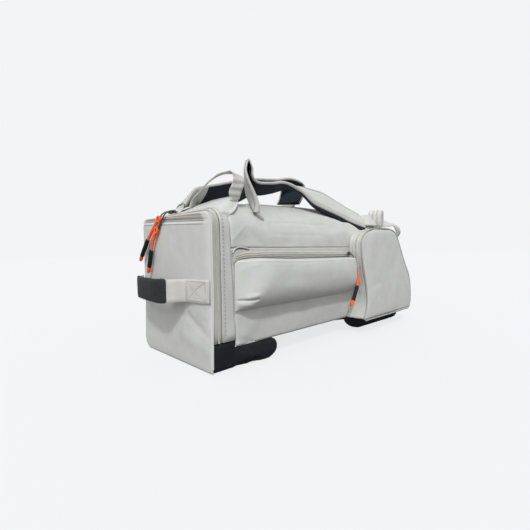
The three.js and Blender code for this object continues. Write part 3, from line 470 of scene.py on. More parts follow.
def folds(a, b, rows):
    """Sum of soft creases over two coordinates: each row is a line a0, b0, a1, b1, a width and a height."""
    total = np.zeros(np.broadcast(a, b).shape)
    for a0, b0, a1, b1, width, height in rows:
        length = math.hypot(a1 - a0, b1 - b0)
        way_a, way_b = (a1 - a0) / length, (b1 - b0) / length
        s = (a - a0) * way_a + (b - b0) * way_b
        d = (b - b0) * way_a - (a - a0) * way_b
        over = np.maximum(0, np.maximum(-s, s - length))
        total += height * np.exp(-((d / width) ** 2)) * ease(1 - over / (FOLD_FADE * width + FOLD_FADE_LEAST))
    return total


def dented(a, b, rows):
    """Sum of soft round dents: middle a, b, reach a, reach b and depth."""
    total = np.zeros(np.broadcast(a, b).shape)
    for a0, b0, reach_a, reach_b, depth in rows:
        total += depth * np.exp(-(((a - a0) / reach_a) ** 2) - ((b - b0) / reach_b) ** 2)
    return total


def tucked(distance, depth, width):
    """How far an edge turns in at a distance from its seam."""
    return depth * np.exp(-np.maximum(distance, 0) / width)


def swell(u, v, power_u, power_v, top=1.0):
    """Share of a bulge over a panel that is held along its edges."""
    return np.sin(np.pi * u) ** power_u * np.sin(np.pi * np.minimum(v, top)) ** power_v


# Meshes. A form is a list of points, their faces and their UV in centimetres.
def piece(name, form, look, node=None):
    """One visible mesh that rides on the bag and may stand for a node of the solids."""
    points, faces, uv = form
    slot, material = LOOKS[look]
    mesh = bpy.data.meshes.new(name)
    mesh.from_pydata(to_world(points).tolist(), [], [list(map(int, f)) for f in faces])
    mesh.validate()
    layer = mesh.uv_layers.new(name="UVMap")
    corner = np.zeros(len(mesh.loops), np.int32)
    mesh.loops.foreach_get("vertex_index", corner)
    layer.data.foreach_set("uv", np.asarray(uv, np.float32)[corner].ravel())
    mesh.update()
    mesh.materials.append(material)
    mesh.polygons.foreach_set("use_smooth", np.ones(len(mesh.polygons), bool))
    obj = bpy.data.objects.new(name, mesh)
    bpy.context.scene.collection.objects.link(obj)
    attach(obj, "root")
    if node:
        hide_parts(node)
    return obj


def joined(forms):
    points, faces, uvs, start = [], [], [], 0
    for part_points, part_faces, part_uv in forms:
        points.append(part_points)
        faces += [[i + start for i in f] for f in part_faces]
        uvs.append(part_uv)
        start += len(part_points)
    return np.concatenate(points), faces, np.concatenate(uvs)


def grid_out(grid, loop=False):
    """Outward directions of a grid of points, on the side of du x dv."""
    du = np.roll(grid, -1, 0) - np.roll(grid, 1, 0) if loop else np.gradient(grid, axis=0)
    return unit(np.cross(du, np.gradient(grid, axis=1)))


def uv_of(along, across):
    return np.stack(np.meshgrid(along / CM, across / CM, indexing="ij"), -1).reshape(-1, 2)


def shell(name, grid, thick, look, node=None, loop=False):
    """A sheet of even thickness behind a grid of outer points. A loop closes along the first direction."""
    nu, nv = grid.shape[:2]
    inner = grid - grid_out(grid, loop) * thick
    points = np.concatenate([grid.reshape(-1, 3), inner.reshape(-1, 3)])
    index = np.arange(nu * nv).reshape(nu, nv)
    rows = np.vstack([index, index[:1]]) if loop else index
    a, b, c, d = rows[:-1, :-1], rows[1:, :-1], rows[1:, 1:], rows[:-1, 1:]
    back = nu * nv
    faces = [np.stack([a, b, c, d], -1).reshape(-1, 4), np.stack([a, d, c, b], -1).reshape(-1, 4) + back]
    edges = [(rows[:, 0], True), (rows[:, -1], False)]
    if not loop:
        edges += [(index[0], False), (index[-1], True)]
    for edge, inward in edges:
        near, far = edge[:-1], edge[1:]
        quad = (near, near + back, far + back, far) if inward else (near, far, far + back, near + back)
        faces.append(np.stack(quad, -1))
    uv = uv_of(run_along(grid[:, nv // 2]), run_along(grid[nu // 2]))
    return piece(name, (points, np.concatenate(faces), np.concatenate([uv, uv])), look, node)


def loft(rings):
    """Form of a closed solid through rings of equal count."""
    rings = np.asarray(rings, float)
    count, size = rings.shape[:2]
    index = np.arange(count * size).reshape(count, size)
    a, b = index[:-1], index[1:]
    quads = np.stack([a, np.roll(a, -1, 1), np.roll(b, -1, 1), b], -1).reshape(-1, 4)
    faces = [*quads.tolist(), index[0, ::-1].tolist(), index[-1].tolist()]
    points = rings.reshape(-1, 3)
    corner = points[quads]
    facing = np.cross(corner[:, 1] - corner[:, 0], corner[:, 3] - corner[:, 0])
    ring_mid = np.repeat(rings[:-1].mean(1), size, axis=0)
    if np.sum(facing * (corner.mean(1) - ring_mid)) < 0:
        faces = [f[::-1] for f in faces]
    step = np.linalg.norm(np.roll(rings, -1, 1) - rings, axis=2).mean(0)
    return points, faces, uv_of(run_along(rings.mean(1)), np.concatenate([[0], np.cumsum(step[:-1])]))


CARRY_START = (0.3, 0.2, 1.0)
TUBE_CAPS = ((0.432, 0.7), (0.57, 0.3))


def carried(path):
    """Two directions square to a line, carried along it without twist."""
    ahead = unit(np.gradient(path, axis=0))
    side = [unit(np.cross(ahead[0], CARRY_START))]
    for way in ahead[1:]:
        side.append(unit(side[-1] - way * np.dot(side[-1], way)))
    return np.array(side), np.cross(ahead, side)


def tube(path, radius, sides=8):
    """Form of a round cord along a line. Each cap row is a reach and a size, both as shares of the radius."""
    path = np.asarray(path, float)
    side, up = carried(path)
    radius = np.broadcast_to(np.asarray(radius, float), (len(path),))
    angle = turns(sides)
    ring = np.cos(angle)[None, :, None] * side[:, None] + np.sin(angle)[None, :, None] * up[:, None]
    ahead = unit(np.gradient(path, axis=0))
    first = [path[0] + (ring[0] * size - ahead[0] * reach) * radius[0] for reach, size in reversed(TUBE_CAPS)]
    last = [path[-1] + (ring[-1] * size + ahead[-1] * reach) * radius[-1] for reach, size in TUBE_CAPS]
    return loft(np.concatenate([first, path[:, None] + ring * radius[:, None, None], last]))


PILL_RINGS = ((-0.44, 0.62), (-0.27, 1.0), (0.27, 1.0), (0.44, 0.62))
PILL_SIDES = 6


def pills(at, along, out, size):
    """Form of many small rounded bars: stitches, or teeth of a zip."""
    along = unit(along)
    out = unit(out - along * np.sum(out * along, -1, keepdims=True))
    side = np.cross(out, along)
    n = PILL_SIDES
    shape = [(-0.5, 0.0, 0.0)]
    for x, r in PILL_RINGS:
        shape += [(x, r * math.cos(a) / 2, r * math.sin(a) / 2) for a in turns(n)]
    shape.append((0.5, 0.0, 0.0))
    shape = np.array(shape) * np.array(size)
    points = (at[:, None] + shape[None, :, :1] * along[:, None] + shape[None, :, 1:2] * side[:, None]
              + shape[None, :, 2:] * out[:, None])
    last = len(shape) - 1
    one = []
    for i in range(n):
        one.append([0, 1 + (i + 1) % n, 1 + i])
        one.append([last, last - n + i, last - n + (i + 1) % n])
    for start in range(1, last - n, n):
        for i in range(n):
            a, b = start + i, start + (i + 1) % n
            one.append([a, b, b + n, a + n])
    faces = [[i + k * len(shape) for i in f] for k in range(len(at)) for f in one]
    return points.reshape(-1, 3), faces, np.tile(shape[:, :2] / CM, (len(at), 1))


def spaced(path, pitch, out):
    """Places at even steps along a line, with its direction there and the outward direction given for its points."""
    run = run_along(path)
    stops = np.arange(pitch / 2, run[-1], pitch)
    along = unit(columns_at(stops, run, unit(np.gradient(path, axis=0))))
    outward = np.broadcast_to(np.asarray(out, float), path.shape)
    return columns_at(stops, run, path), along, unit(columns_at(stops, run, outward))


STITCH_PITCH, STITCH, STITCH_LIFT = 5.6, (3.4, 1.5, 0.9), 0.1
BOX_STITCH_PITCH, BOX_STITCH = 4.6, (2.9, 1.3, 0.8)
TOOTH_PITCH, TOOTH_LONG, TOOTH_WIDE, TOOTH_SLANT, TOOTH_STAGGER = 2.3, 0.46, 0.84, 0.32, 0.25


def stitches(path, out, pitch=STITCH_PITCH, size=STITCH):
    at, along, up = spaced(path, pitch, out)
    return pills(at + up * STITCH_LIFT, along, up, size)


def box_stitches(path, out):
    return stitches(path, out, BOX_STITCH_PITCH, BOX_STITCH)


def zip_teeth(path, out, width=4.2, height=2.4, parting=0.24):
    """Two rows of slanted coil turns along a line, side by side with a parting in the middle."""
    at, along, up = spaced(path, TOOTH_PITCH, out)
    across = unit(np.cross(up, along))
    size = (width * TOOTH_LONG, TOOTH_PITCH * TOOTH_WIDE, height)
    rows = []
    for hand in (-1, 1):
        shift = at + across * hand * width * parting + along * (TOOTH_STAGGER * hand * TOOTH_PITCH)
        rows.append(pills(shift, across + along * TOOTH_SLANT * hand, up, size))
    return joined(rows)


# Padded pieces swell in a cloth simulation
SIM_FRAMES, SIM_PRESSURE = 20, 4.0


def vertex_places(mesh):
    flat = np.zeros(3 * len(mesh.vertices))
    mesh.vertices.foreach_get("co", flat)
    return flat.reshape(-1, 3)


def swollen(obj, voxel, cap, shrink=(0, 0, 0), box=None):
    """Swell a pad: an even mesh, slightly smaller, under pressure from inside, with each point held near its start."""
    scene = bpy.context.scene
    copy = bpy.data.objects.new(f"{obj.name}_sim", obj.data.copy())
    scene.collection.objects.link(copy)
    even = copy.modifiers.new("even", "REMESH")
    even.mode = "VOXEL"
    even.voxel_size = voxel * MM
    bpy.context.view_layer.update()
    mesh = bpy.data.meshes.new_from_object(copy.evaluated_get(bpy.context.evaluated_depsgraph_get()))
    copy.modifiers.clear()
    copy.data = mesh
    start = vertex_places(mesh)
    low, high = start.min(0), start.max(0)
    middle = (low + high) / 2
    start = middle + (start - middle) * (1 - 2 * MM * np.array(shrink) / (high - low))
    mesh.vertices.foreach_set("co", start.ravel())
    mesh.update()
    cloth = copy.modifiers.new("swell", "CLOTH")
    cloth.settings.use_pressure = True
    cloth.settings.uniform_pressure_force = SIM_PRESSURE
    cloth.settings.effector_weights.gravity = 0
    cloth.point_cache.frame_start, cloth.point_cache.frame_end = 1, SIM_FRAMES
    for number in range(1, SIM_FRAMES + 1):
        scene.frame_set(number)
    move = vertex_places(copy.evaluated_get(bpy.context.evaluated_depsgraph_get()).data) - start
    reach = np.linalg.norm(move, axis=1, keepdims=True)
    place = start + move * np.minimum(1, cap * MM / np.maximum(reach, 1e-9))
    if box is not None:
        place = np.clip(place, to_world(box[0]), to_world(box[1]))
    copy.modifiers.clear()
    scene.frame_set(1)
    mesh.vertices.foreach_set("co", place.ravel())
    mesh.polygons.foreach_set("use_smooth", np.ones(len(mesh.polygons), bool))
    mesh.update()
    obj.data = mesh
    bpy.data.objects.remove(copy)


# Body of the bag. Its cross-sections have a top, and shoulders that are rounded by an inset and a drop.
LENGTH, WIDTH = 790.0, 300.0
BASE_Z, FLAP_Z, SEAM_X = 43.0, 249.0, 57.0
WALL, GAP = 2.0, 0.3
SECTION_X = (0, 57, 130, 230, 470, 640, 790)
SECTION_TOP = (330, 336, 354, 363, 366, 352, 328)
SECTION_INSET = (32, 48, 88, 105, 105, 92, 70)
SECTION_DROP = (34, 52, 90, 106, 108, 94, 70)
BODY_STEPS, SHOULDER_STEPS, TOP_STEPS, STEP_MM = 14, 5, 2, 20
FRONT_RECESS, FRONT_BULGE, FRONT_EDGE_RISE = 2.4, 5.0, 4.0
BACK_BULGE, RIGHT_END_BULGE, RIGHT_END_POWER = 8.0, 12.0, 0.6
END_STRAIGHT = 0.62
GUSSET_FOOT_Z, SEAM_FOOT, SEAM_LEAN, SEAM_RUN = 59.3, 5.0, 9.0, 210.0
WALL_GRID, TOP_GRID, BASE_GRID, RIGHT_END_GRID = (150, 60), (190, 150), (90, 40), (90, 100)
# Crumples have a height and a size, tucks a depth and a width
FRONT_RUMPLE, BACK_RUMPLE, RIGHT_END_RUMPLE = (0.7, 46), (1.0, 52), (1.2, 44)
TOP_RUMPLE, TOP_BACK_SHARE, BASE_RUMPLE = (0.9, 38), 0.6, (0.5, 60)
WALL_TUCK, FRONT_TOP_TUCK, BACK_TOP_TUCK, BASE_TUCK = (2.2, 2.0), (1.6, 1.6), (1.8, 1.8), (2.5, 2.5)
TOP_SEAM_TUCK, TOP_END_TUCK, TOP_FOOT_TUCK = (2.4, 2.2), (2.5, 2.5), (2.2, 2.2)
FRONT_FOLDS = ((70, 52, 140, 110, 16, 1.4), (62, 60, 110, 44, 5, -1.6), (240, 60, 430, 96, 26, 1.2))
BACK_FOLDS = ((120, 90, 300, 150, 22, 1.8), (420, 200, 640, 120, 26, 2.0), (300, 220, 380, 60, 18, -1.6))
RIGHT_END_FOLDS = ((60, 80, 150, 160, 20, 2.2), (220, 90, 150, 190, 22, 1.8), (120, 250, 230, 230, 12, -1.4))
TOP_DENTS = ((100, 268, 30, 22, 3.2), (210, 332, 90, 16, 2.5), (400, 306, 130, 14, 2))
TOP_CREASES = (
    (58, 266, 92, 294, 4.5, 1.4),
    (96, 292, 150, 252, 10, -1.8),
    (150, 252, 240, 262, 12, -1.2),
    (178, 307, 380, 311, 2.6, -1.1),
    (178, 280, 360, 279, 2.4, -0.9),
    (215, 326, 420, 333, 3.0, -1.2),
    (330, 262, 470, 300, 16, 1.6),
    (520, 325, 640, 300, 20, 2.2),
)
TOP_BACK_FOLDS = ((150, 300, 330, 270, 14, 1.6), (420, 280, 600, 310, 16, -1.8), (250, 340, 420, 330, 12, 1.4))
body_top, body_inset, body_drop = (reader(SECTION_X, c) for c in (SECTION_TOP, SECTION_INSET, SECTION_DROP))


def on_body(x, step, low, depth=0.0):
    """Places on the cross-section at x, from a low height on the front wall over the top to the back wall."""
    x, step, depth = np.broadcast_arrays(np.asarray(x, float), np.asarray(step, float), np.asarray(depth, float))
    back = step > BODY_STEPS / 2
    climb = np.where(back, BODY_STEPS - step, step)
    top, inset, drop = body_top(x), body_inset(x), body_drop(x)
    turn = np.clip((climb - 1) / SHOULDER_STEPS, 0, 1) * (np.pi / 2)
    ny, nz = np.cos(turn) / inset, -np.sin(turn) / drop
    size = np.hypot(ny, nz)
    y = inset * (1 - np.cos(turn))
    z = top - drop * (1 - np.sin(turn))
    z = np.where(climb < 1, mix(low, z, np.clip(climb, 0, 1)), z)
    level = climb - 1 - SHOULDER_STEPS
    y = np.where(level > 0, mix(inset, WIDTH - inset, level / TOP_STEPS), y)
    y = y + ny / size * depth
    z = z + nz / size * depth
    return np.stack([x, np.where(back, WIDTH - y, y), z], -1)


def front_face(x, z):
    x, z = np.broadcast_arrays(np.asarray(x, float), np.asarray(z, float))
    rise = np.clip((z - body_top(x) + body_drop(x)) / body_drop(x), 0, 1)
    shoulder = body_inset(x) * (1 - np.sqrt(1 - rise * rise))
    along = (x - SEAM_X) / (LENGTH - SEAM_X)
    up = np.clip((z - BASE_Z) / (FLAP_Z - BASE_Z), 0, 1)
    edge = np.clip(np.minimum(FRONT_EDGE_RISE * along, FRONT_EDGE_RISE * (1 - along)), 0, 1)
    low = FRONT_RECESS - FRONT_BULGE * np.sin(np.pi * up) * edge
    return np.where(z > FLAP_Z, shoulder, low)


def seam_x(z):
    """Where the seam behind the zipped end runs: it leans towards the end on its way up."""
    return SEAM_X + SEAM_FOOT - SEAM_LEAN * np.clip((z - GUSSET_FOOT_Z) / SEAM_RUN, 0, 1)


def pocket_seat(x, z):
    """Where pockets are sewn on: just in front of the front wall."""
    face = front_face(x, z)
    return np.where(np.asarray(z) > FLAP_Z, face - 2 * GAP, np.minimum(face, 0) - GAP)


def long_wall(side, x, y, z, out, fold_rows, crumple, top_tuck):
    """A long side of the bag: its folds stand out, and its edges turn in at their seams."""
    spot = np.stack([x, y, z], -1)
    sewn = tucked(x - seam_x(z), *WALL_TUCK) + tucked(FLAP_Z - z, *top_tuck) + tucked(z - BASE_Z, *BASE_TUCK)
    spot[..., 1] += out * (folds(x, z, fold_rows) + rumple(spot, *crumple) - sewn)
    shell(f"{side}_panel_cloth", spot, WALL, "fabric", f"{side}_panel")


def add_body():
    right = LENGTH - GAP
    u, v = params(*WALL_GRID)
    z = mix(BASE_Z, FLAP_Z - GAP, v)
    left = seam_x(z) + GAP
    x = mix(left, right, u)
    long_wall("front", x, front_face(x, z), z, -1, FRONT_FOLDS, FRONT_RUMPLE, FRONT_TOP_TUCK)
    y = WIDTH + BACK_BULGE * np.sin(np.pi * u) * np.sin(np.pi * v)
    long_wall("back", mix(right, left, u), y, z, 1, BACK_FOLDS, BACK_RUMPLE, BACK_TOP_TUCK)

    u, v = params(*TOP_GRID)
    step = v * BODY_STEPS
    seam = seam_x(on_body(SEAM_X, step, FLAP_Z)[..., 2])
    x = mix(seam + GAP, right, u)
    spot = on_body(x, step, FLAP_Z)
    z = spot[..., 2]
    front = spot[..., 1] < WIDTH / 2
    relief = np.where(front, folds(x, z, TOP_CREASES) - dented(x, z, TOP_DENTS), folds(x, z, TOP_BACK_FOLDS))
    depth = -relief - np.where(front, 1, TOP_BACK_SHARE) * rumple(spot, *TOP_RUMPLE)
    climbed = np.minimum(step, BODY_STEPS - step) * STEP_MM
    depth += tucked(x - seam, *TOP_SEAM_TUCK) + tucked(right - x, *TOP_END_TUCK) + tucked(climbed, *TOP_FOOT_TUCK)
    shell("top_panel_cloth", on_body(x, step, FLAP_Z, depth), WALL, "fabric", "top_panel")

    u, v = params(*BASE_GRID)
    x = mix(SEAM_X + 3 * GAP, right - GAP, u)
    y = mix(WIDTH - 2 * GAP, FRONT_RECESS + 2 * GAP + WALL, v)
    z = BASE_Z + rumple(np.stack([x, y, 0 * x], -1), *BASE_RUMPLE)
    shell("base_panel_cloth", np.stack([x, y, z], -1), WALL, "fabric", "base_panel")


def end_row(v, low, top, inset, drop):
    """Height on an end of the bag, and how far its rounded top corners are drawn in there."""
    angle = (np.pi / 2) * np.clip((v - END_STRAIGHT) / (1 - END_STRAIGHT), 0, 1)
    straight = v < END_STRAIGHT
    z = np.where(straight, mix(low, top - drop, v / END_STRAIGHT), top - drop + drop * np.sin(angle))
    return z, np.where(straight, 0, inset * (1 - np.cos(angle)))


def add_right_end():
    u, v = params(*RIGHT_END_GRID)
    z, draw = end_row(v, BASE_Z, body_top(LENGTH) - GAP, body_inset(LENGTH), body_drop(LENGTH))
    y = mix(FRONT_RECESS + draw, WIDTH - draw, u)
    held = swell(u, v, RIGHT_END_POWER, RIGHT_END_POWER)
    spot = np.stack([LENGTH + WALL + RIGHT_END_BULGE * held, y, z], -1)
    spot[..., 0] += held * (folds(y, z, RIGHT_END_FOLDS) + rumple(spot, *RIGHT_END_RUMPLE))
    shell("right_end_cloth", spot, WALL, "fabric", "right_end_panel")


# Zipped end
FLAP_GRID, END_TAPE_GRID, GUSSET_GRID, HEM_GRID = (120, 150), (6, 160), (24, 220), (100, 24)
FLAP_DENTS = ((40, 92, 34, 22, 3.2), (95, 128, 50, 26, 2.4), (232, 60, 60, 40, 2))
FLAP_FOLDS = (
    (2, 68, 74, 106, 8, 2.4),
    (74, 106, 120, 112, 12, 1.4),
    (14, 44, 96, 66, 14, -2.2),
    (237, 252, 241, 186, 3.2, 1.6),
    (279, 240, 281, 206, 2.6, 1.2),
    (8, 120, 26, 132, 5, 1.2),
    (8, 98, 22, 106, 4, 1.2),
)
FLAP_BULGE, FLAP_POWERS, FLAP_RUMPLE = 8.0, (0.5, 0.4, 0.96), (0.8, 42)
FLAP_FOOT_Z, FLAP_RIM_X, FLAP_LOW_CORNER, FLAP_LOW_SHARE = 1.5, 1.0, 30.0, 0.8
FLAP_TOP_FRONT, FLAP_TOP_BACK, FLAP_CORNER = 319.0, 325.5, 24.0
FLAP_WRAP, FLAP_WRAP_WIDE, FLAP_WRAP_RISE = 4.5, 6.0, 170.0
RIM_RADIUS, RIM_BACK, RIM_EDGE = 1.9, 1.4, 0.02
# Ridges above the hem have a place, a width and a depth
HEM_Z, HEM_RISE, HEM_STEP, HEM_SHARP = 299.0, 0.058, 3.6, 0.7
HEM_RIDGES = ((6.5, 1.8, 2.4), (13.5, 1.6, 1.8))
HEM_BAND_FROM, HEM_BAND_TOP, HEM_BAND_EDGE, HEM_BAND_OUT, HEM_BAND_WALL = 2.5, 0.97, 0.05, 0.5, 0.4
HEM_STITCH_FROM, HEM_STITCH_EDGE, HEM_STITCH_OUT = -3.5, 0.06, 0.6
ZIP_TAPE_START, ZIP_TAPE_END, ZIP_TAPE_RECESS, ZIP_TAPE_SUNK, ZIP_TAPE_WALL = 8.5, 27.0, 1.4, 0.6, 1.2
ZIP_COIL_X, ZIP_COIL_RADIUS, ZIP_COIL_OUT = 17.5, 2.6, 0.2
ZIP_COIL_SHARE = (ZIP_COIL_X - ZIP_TAPE_START) / (ZIP_TAPE_END - ZIP_TAPE_START)
ZIP_LEAN_FRONT, ZIP_LEAN_BACK, ZIP_LEAN_FROM, ZIP_LEAN_RUN = 9.5, 4.0, 2.2, 2.6
GUSSET_PUCKERS = ((34, 112, 57, 104, 4, 1.8), (30, 74, 57, 64, 4, 2.0), (36, 92, 57, 88, 5, -1.4),
                  (40, 160, 57, 150, 6, 1.0), (44, 268, 57, 276, 4, 1.4))
GUSSET_RUMPLE, GUSSET_BACK_SHARE = (0.6, 26), 0.6
GUSSET_SEAM_TUCK, GUSSET_ZIP_TUCK = (2.4, 2.0), (1.2, 1.4)
GUSSET_RIM_X, GUSSET_RIM_OUT, GUSSET_RIM_RADIUS, GUSSET_RIM_EDGE = ZIP_TAPE_END + 1.2, 0.2, 1.5, 0.05
SEAM_STITCH_X, SEAM_STITCH_OUT, SEAM_STITCH_PITCH, SEAM_STITCH = 34.0, 1.0, 8.0, (3.6, 1.9, 1.0)


def flap_share(z, u):
    """Share of the way up the flap at which it reaches a height."""
    start = mix(FLAP_TOP_BACK, FLAP_TOP_FRONT, u) - FLAP_CORNER
    straight = END_STRAIGHT * (z - FLAP_FOOT_Z) / (start - FLAP_FOOT_Z)
    arc = np.arcsin(np.clip((z - start) / FLAP_CORNER, 0, 1)) * 2 / np.pi
    return np.where(z < start, straight, END_STRAIGHT + (1 - END_STRAIGHT) * arc)


def hem_share(u, above):
    """Share of the way up the flap at a height above its sloping hem."""
    return flap_share(HEM_Z + above + HEM_RISE * WIDTH * (1 - u), u)


def flap_places(u, v):
    z, draw = end_row(v, FLAP_FOOT_Z, mix(FLAP_TOP_BACK, FLAP_TOP_FRONT, u), FLAP_CORNER, FLAP_CORNER)
    low = np.maximum(0, FLAP_LOW_CORNER - (z - FLAP_FOOT_Z)) / FLAP_LOW_CORNER
    corner = FLAP_LOW_CORNER * (1 - np.sqrt(1 - low * low)) * FLAP_LOW_SHARE
    y = mix(WIDTH - draw - corner, draw, u)
    held = swell(u, v, *FLAP_POWERS)
    above = z - HEM_Z - HEM_RISE * y
    sunk = dented(y, z, FLAP_DENTS) + folds(y, z, FLAP_FOLDS) + HEM_STEP / (1 + np.exp(-above / HEM_SHARP))
    for place, width, depth in HEM_RIDGES:
        sunk = sunk + depth * np.exp(-((above - place) / width) ** 2)
    wrap = FLAP_WRAP * (np.exp(-y / FLAP_WRAP_WIDE) + np.exp(-(WIDTH - y) / FLAP_WRAP_WIDE))
    wrap = wrap * ease((z - FLAP_FOOT_Z) / FLAP_WRAP_RISE)
    spot = np.stack([FLAP_RIM_X + (sunk - FLAP_BULGE) * held + wrap, y, z], -1)
    spot[..., 0] += held * rumple(spot, *FLAP_RUMPLE)
    return spot


def zip_lean(step, share):
    """How far the zip sinks where it leans over to the flap along the top of the end."""
    climb = np.minimum(step, BODY_STEPS - step)
    lean = mix(ZIP_LEAN_FRONT, ZIP_LEAN_BACK, step / BODY_STEPS)
    return lean * ease((climb - ZIP_LEAN_FROM) / ZIP_LEAN_RUN) * (1 - share)


def round_end(x, step, depth):
    """A line round the zipped end of the body, with its outward direction."""
    line = on_body(x, step, GUSSET_FOOT_Z, depth)
    return line, unit(on_body(x, step, GUSSET_FOOT_Z, depth - 1) - line)


def add_flap():
    shell("end_flap_cloth", flap_places(*params(*FLAP_GRID)), WALL, "fabric", "end_flap")
    # Rolled rim of the flap, from the foot up one side and down the other
    v = np.linspace(RIM_EDGE, 1, 140)
    u = np.linspace(1 - RIM_EDGE, RIM_EDGE, 50)
    up_side, down_side = (flap_places(np.full_like(v, side), v) for side in (1.0, 0.0))
    rim = np.concatenate([up_side, flap_places(u, np.full_like(u, 1.0)), down_side[::-1]])
    rim[:, 0] += RIM_BACK
    piece("end_flap_rim", tube(rim, RIM_RADIUS), "fabric")


def add_end_zip():
    u, v = params(*END_TAPE_GRID)
    step = v * BODY_STEPS
    sunk = ZIP_TAPE_RECESS + ZIP_TAPE_SUNK + zip_lean(step, u)
    tape = on_body(mix(ZIP_TAPE_START, ZIP_TAPE_END, u), step, GUSSET_FOOT_Z, sunk)
    shell("end_zip_tape_cloth", tape, ZIP_TAPE_WALL, "tape", "end_zip_tape")
    step = np.linspace(0, BODY_STEPS, 400)
    line, out = round_end(ZIP_COIL_X, step, zip_lean(step, ZIP_COIL_SHARE) - ZIP_COIL_OUT)
    piece("end_zip_teeth", zip_teeth(line, out), "coil", "end_zip_coil")


def add_gusset():
    u, v = params(*GUSSET_GRID)
    step = v * BODY_STEPS
    seam = seam_x(on_body(SEAM_X, step, GUSSET_FOOT_Z)[..., 2])
    x = mix(ZIP_TAPE_END + GAP, seam, u)
    spot = on_body(x, step, GUSSET_FOOT_Z)
    share = np.where(spot[..., 1] < WIDTH / 2, 1, GUSSET_BACK_SHARE)
    depth = share * folds(x, spot[..., 2], GUSSET_PUCKERS) - rumple(spot, *GUSSET_RUMPLE)
    depth += tucked(seam - x, *GUSSET_SEAM_TUCK) + tucked(x - ZIP_TAPE_END, *GUSSET_ZIP_TUCK)
    shell("end_gusset_cloth", on_body(x, step, GUSSET_FOOT_Z, depth), WALL, "fabric", "end_gusset")
    step = np.linspace(GUSSET_RIM_EDGE, BODY_STEPS - GUSSET_RIM_EDGE, 320)
    edge, _ = round_end(GUSSET_RIM_X, step, -GUSSET_RIM_OUT)
    piece("end_gusset_rim", tube(edge, GUSSET_RIM_RADIUS), "fabric")
    return stitches(*round_end(SEAM_STITCH_X, step, -SEAM_STITCH_OUT), SEAM_STITCH_PITCH, SEAM_STITCH)


def add_hem():
    # A darker sheet over the flap above the hem: partly tape colour, partly painted shade of that recessed strip.
    u, v = params(*HEM_GRID)
    u = mix(HEM_BAND_EDGE, 1 - HEM_BAND_EDGE, u)
    strip = flap_places(u, mix(hem_share(u, HEM_BAND_FROM), HEM_BAND_TOP, v))
    strip[..., 0] -= HEM_BAND_OUT
    shell("end_flap_hem_shade_band", strip, HEM_BAND_WALL, "hem_tape_and_shade")
    u = np.linspace(HEM_STITCH_EDGE, 1 - HEM_STITCH_EDGE, 120)
    line = flap_places(u, hem_share(u, HEM_STITCH_FROM))
    line[:, 0] -= HEM_STITCH_OUT
    return stitches(line, (-1.0, 0, 0))


def add_zipped_end():
    add_flap()
    add_end_zip()
    seam_row = add_gusset()
    hem_row = add_hem()
    piece("end_stitching", joined([seam_row, hem_row]), "thread_hole_shade")


# Feet. Outlines are seen from the front and go through curves of a start, a pull and an end. The rows of the edge
# are a place across the bag, an inset and a share of the outline.
FOOT_TOP, CORNER_TOP = BASE_Z - GAP, GUSSET_FOOT_Z - 2 * GAP
LEFT_FOOT = (((142, 0), (176, 4), (182, 27)), ((182, 27), (182, 40), (174, FOOT_TOP)))
RIGHT_FOOT = (((470, FOOT_TOP), (486, 3), (556, 0)), ((700, 0), (760, 0), (784, 4)),
              ((784, 4), (797, 9), (797, FOOT_TOP)))
FOOT_EDGE = ((0.0, 4.4, 0.0), (0.0, 4.4, 0.35), (0.0, 4.4, 0.7), (0.0, 4.4, 0.92), (0.0, 4.4, 1.0),
             (0.6, 2.9, 1.0), (1.6, 1.7, 1.0), (3.6, 0.6, 1.0), (7.0, 0.0, 1.0))
FOOT_FLAT_FROM, FOOT_ROWS, FOOT_POINTS, FOOT_CUT, FOOT_LEAST = 16, 16, 110, 9, 0.04
FOOT_CROWN, FOOT_RUMPLE, FOOT_RUMPLE_MOST, FOOT_SOLE, FOOT_RUN = 1.2, (0.7, 30), 0.4, 1.0, 6
FOOT_VOXEL, FOOT_CAP, FOOT_SHRINK, FOOT_OUT, FOOT_LAP = 4.0, 5.0, 1.5, 1.2, 2.5
FOOT_PROUD, PROUD_DEEP, PROUD_RUN, RIGHT_FOOT_DRAW = 9.0, 75.0, 70.0, 165.0
SOFTEN_CUT, SOFTEN_ROUNDS = 0.2, 3


def curves(rows, count=10):
    """Points along quadratic curves, each from its start to its end and pulled towards its middle point."""
    t = np.linspace(0, 1, count)[:, None]
    points = np.zeros((0, 2))
    for a, b, c in np.array(rows, float):
        more = (1 - t) ** 2 * a + 2 * t * (1 - t) * b + t ** 2 * c
        meets = len(points) and np.allclose(points[-1], more[0])
        points = np.vstack([points, more[1:] if meets else more])
    return points


def softened(outline):
    """An outline with its corners cut again and again until they are round."""
    keep = 1 - SOFTEN_CUT
    for _ in range(SOFTEN_ROUNDS):
        ahead = np.roll(outline, -1, 0)
        cut = [keep * outline + SOFTEN_CUT * ahead, SOFTEN_CUT * outline + keep * ahead]
        outline = np.stack(cut, 1).reshape(-1, 2)
    return outline


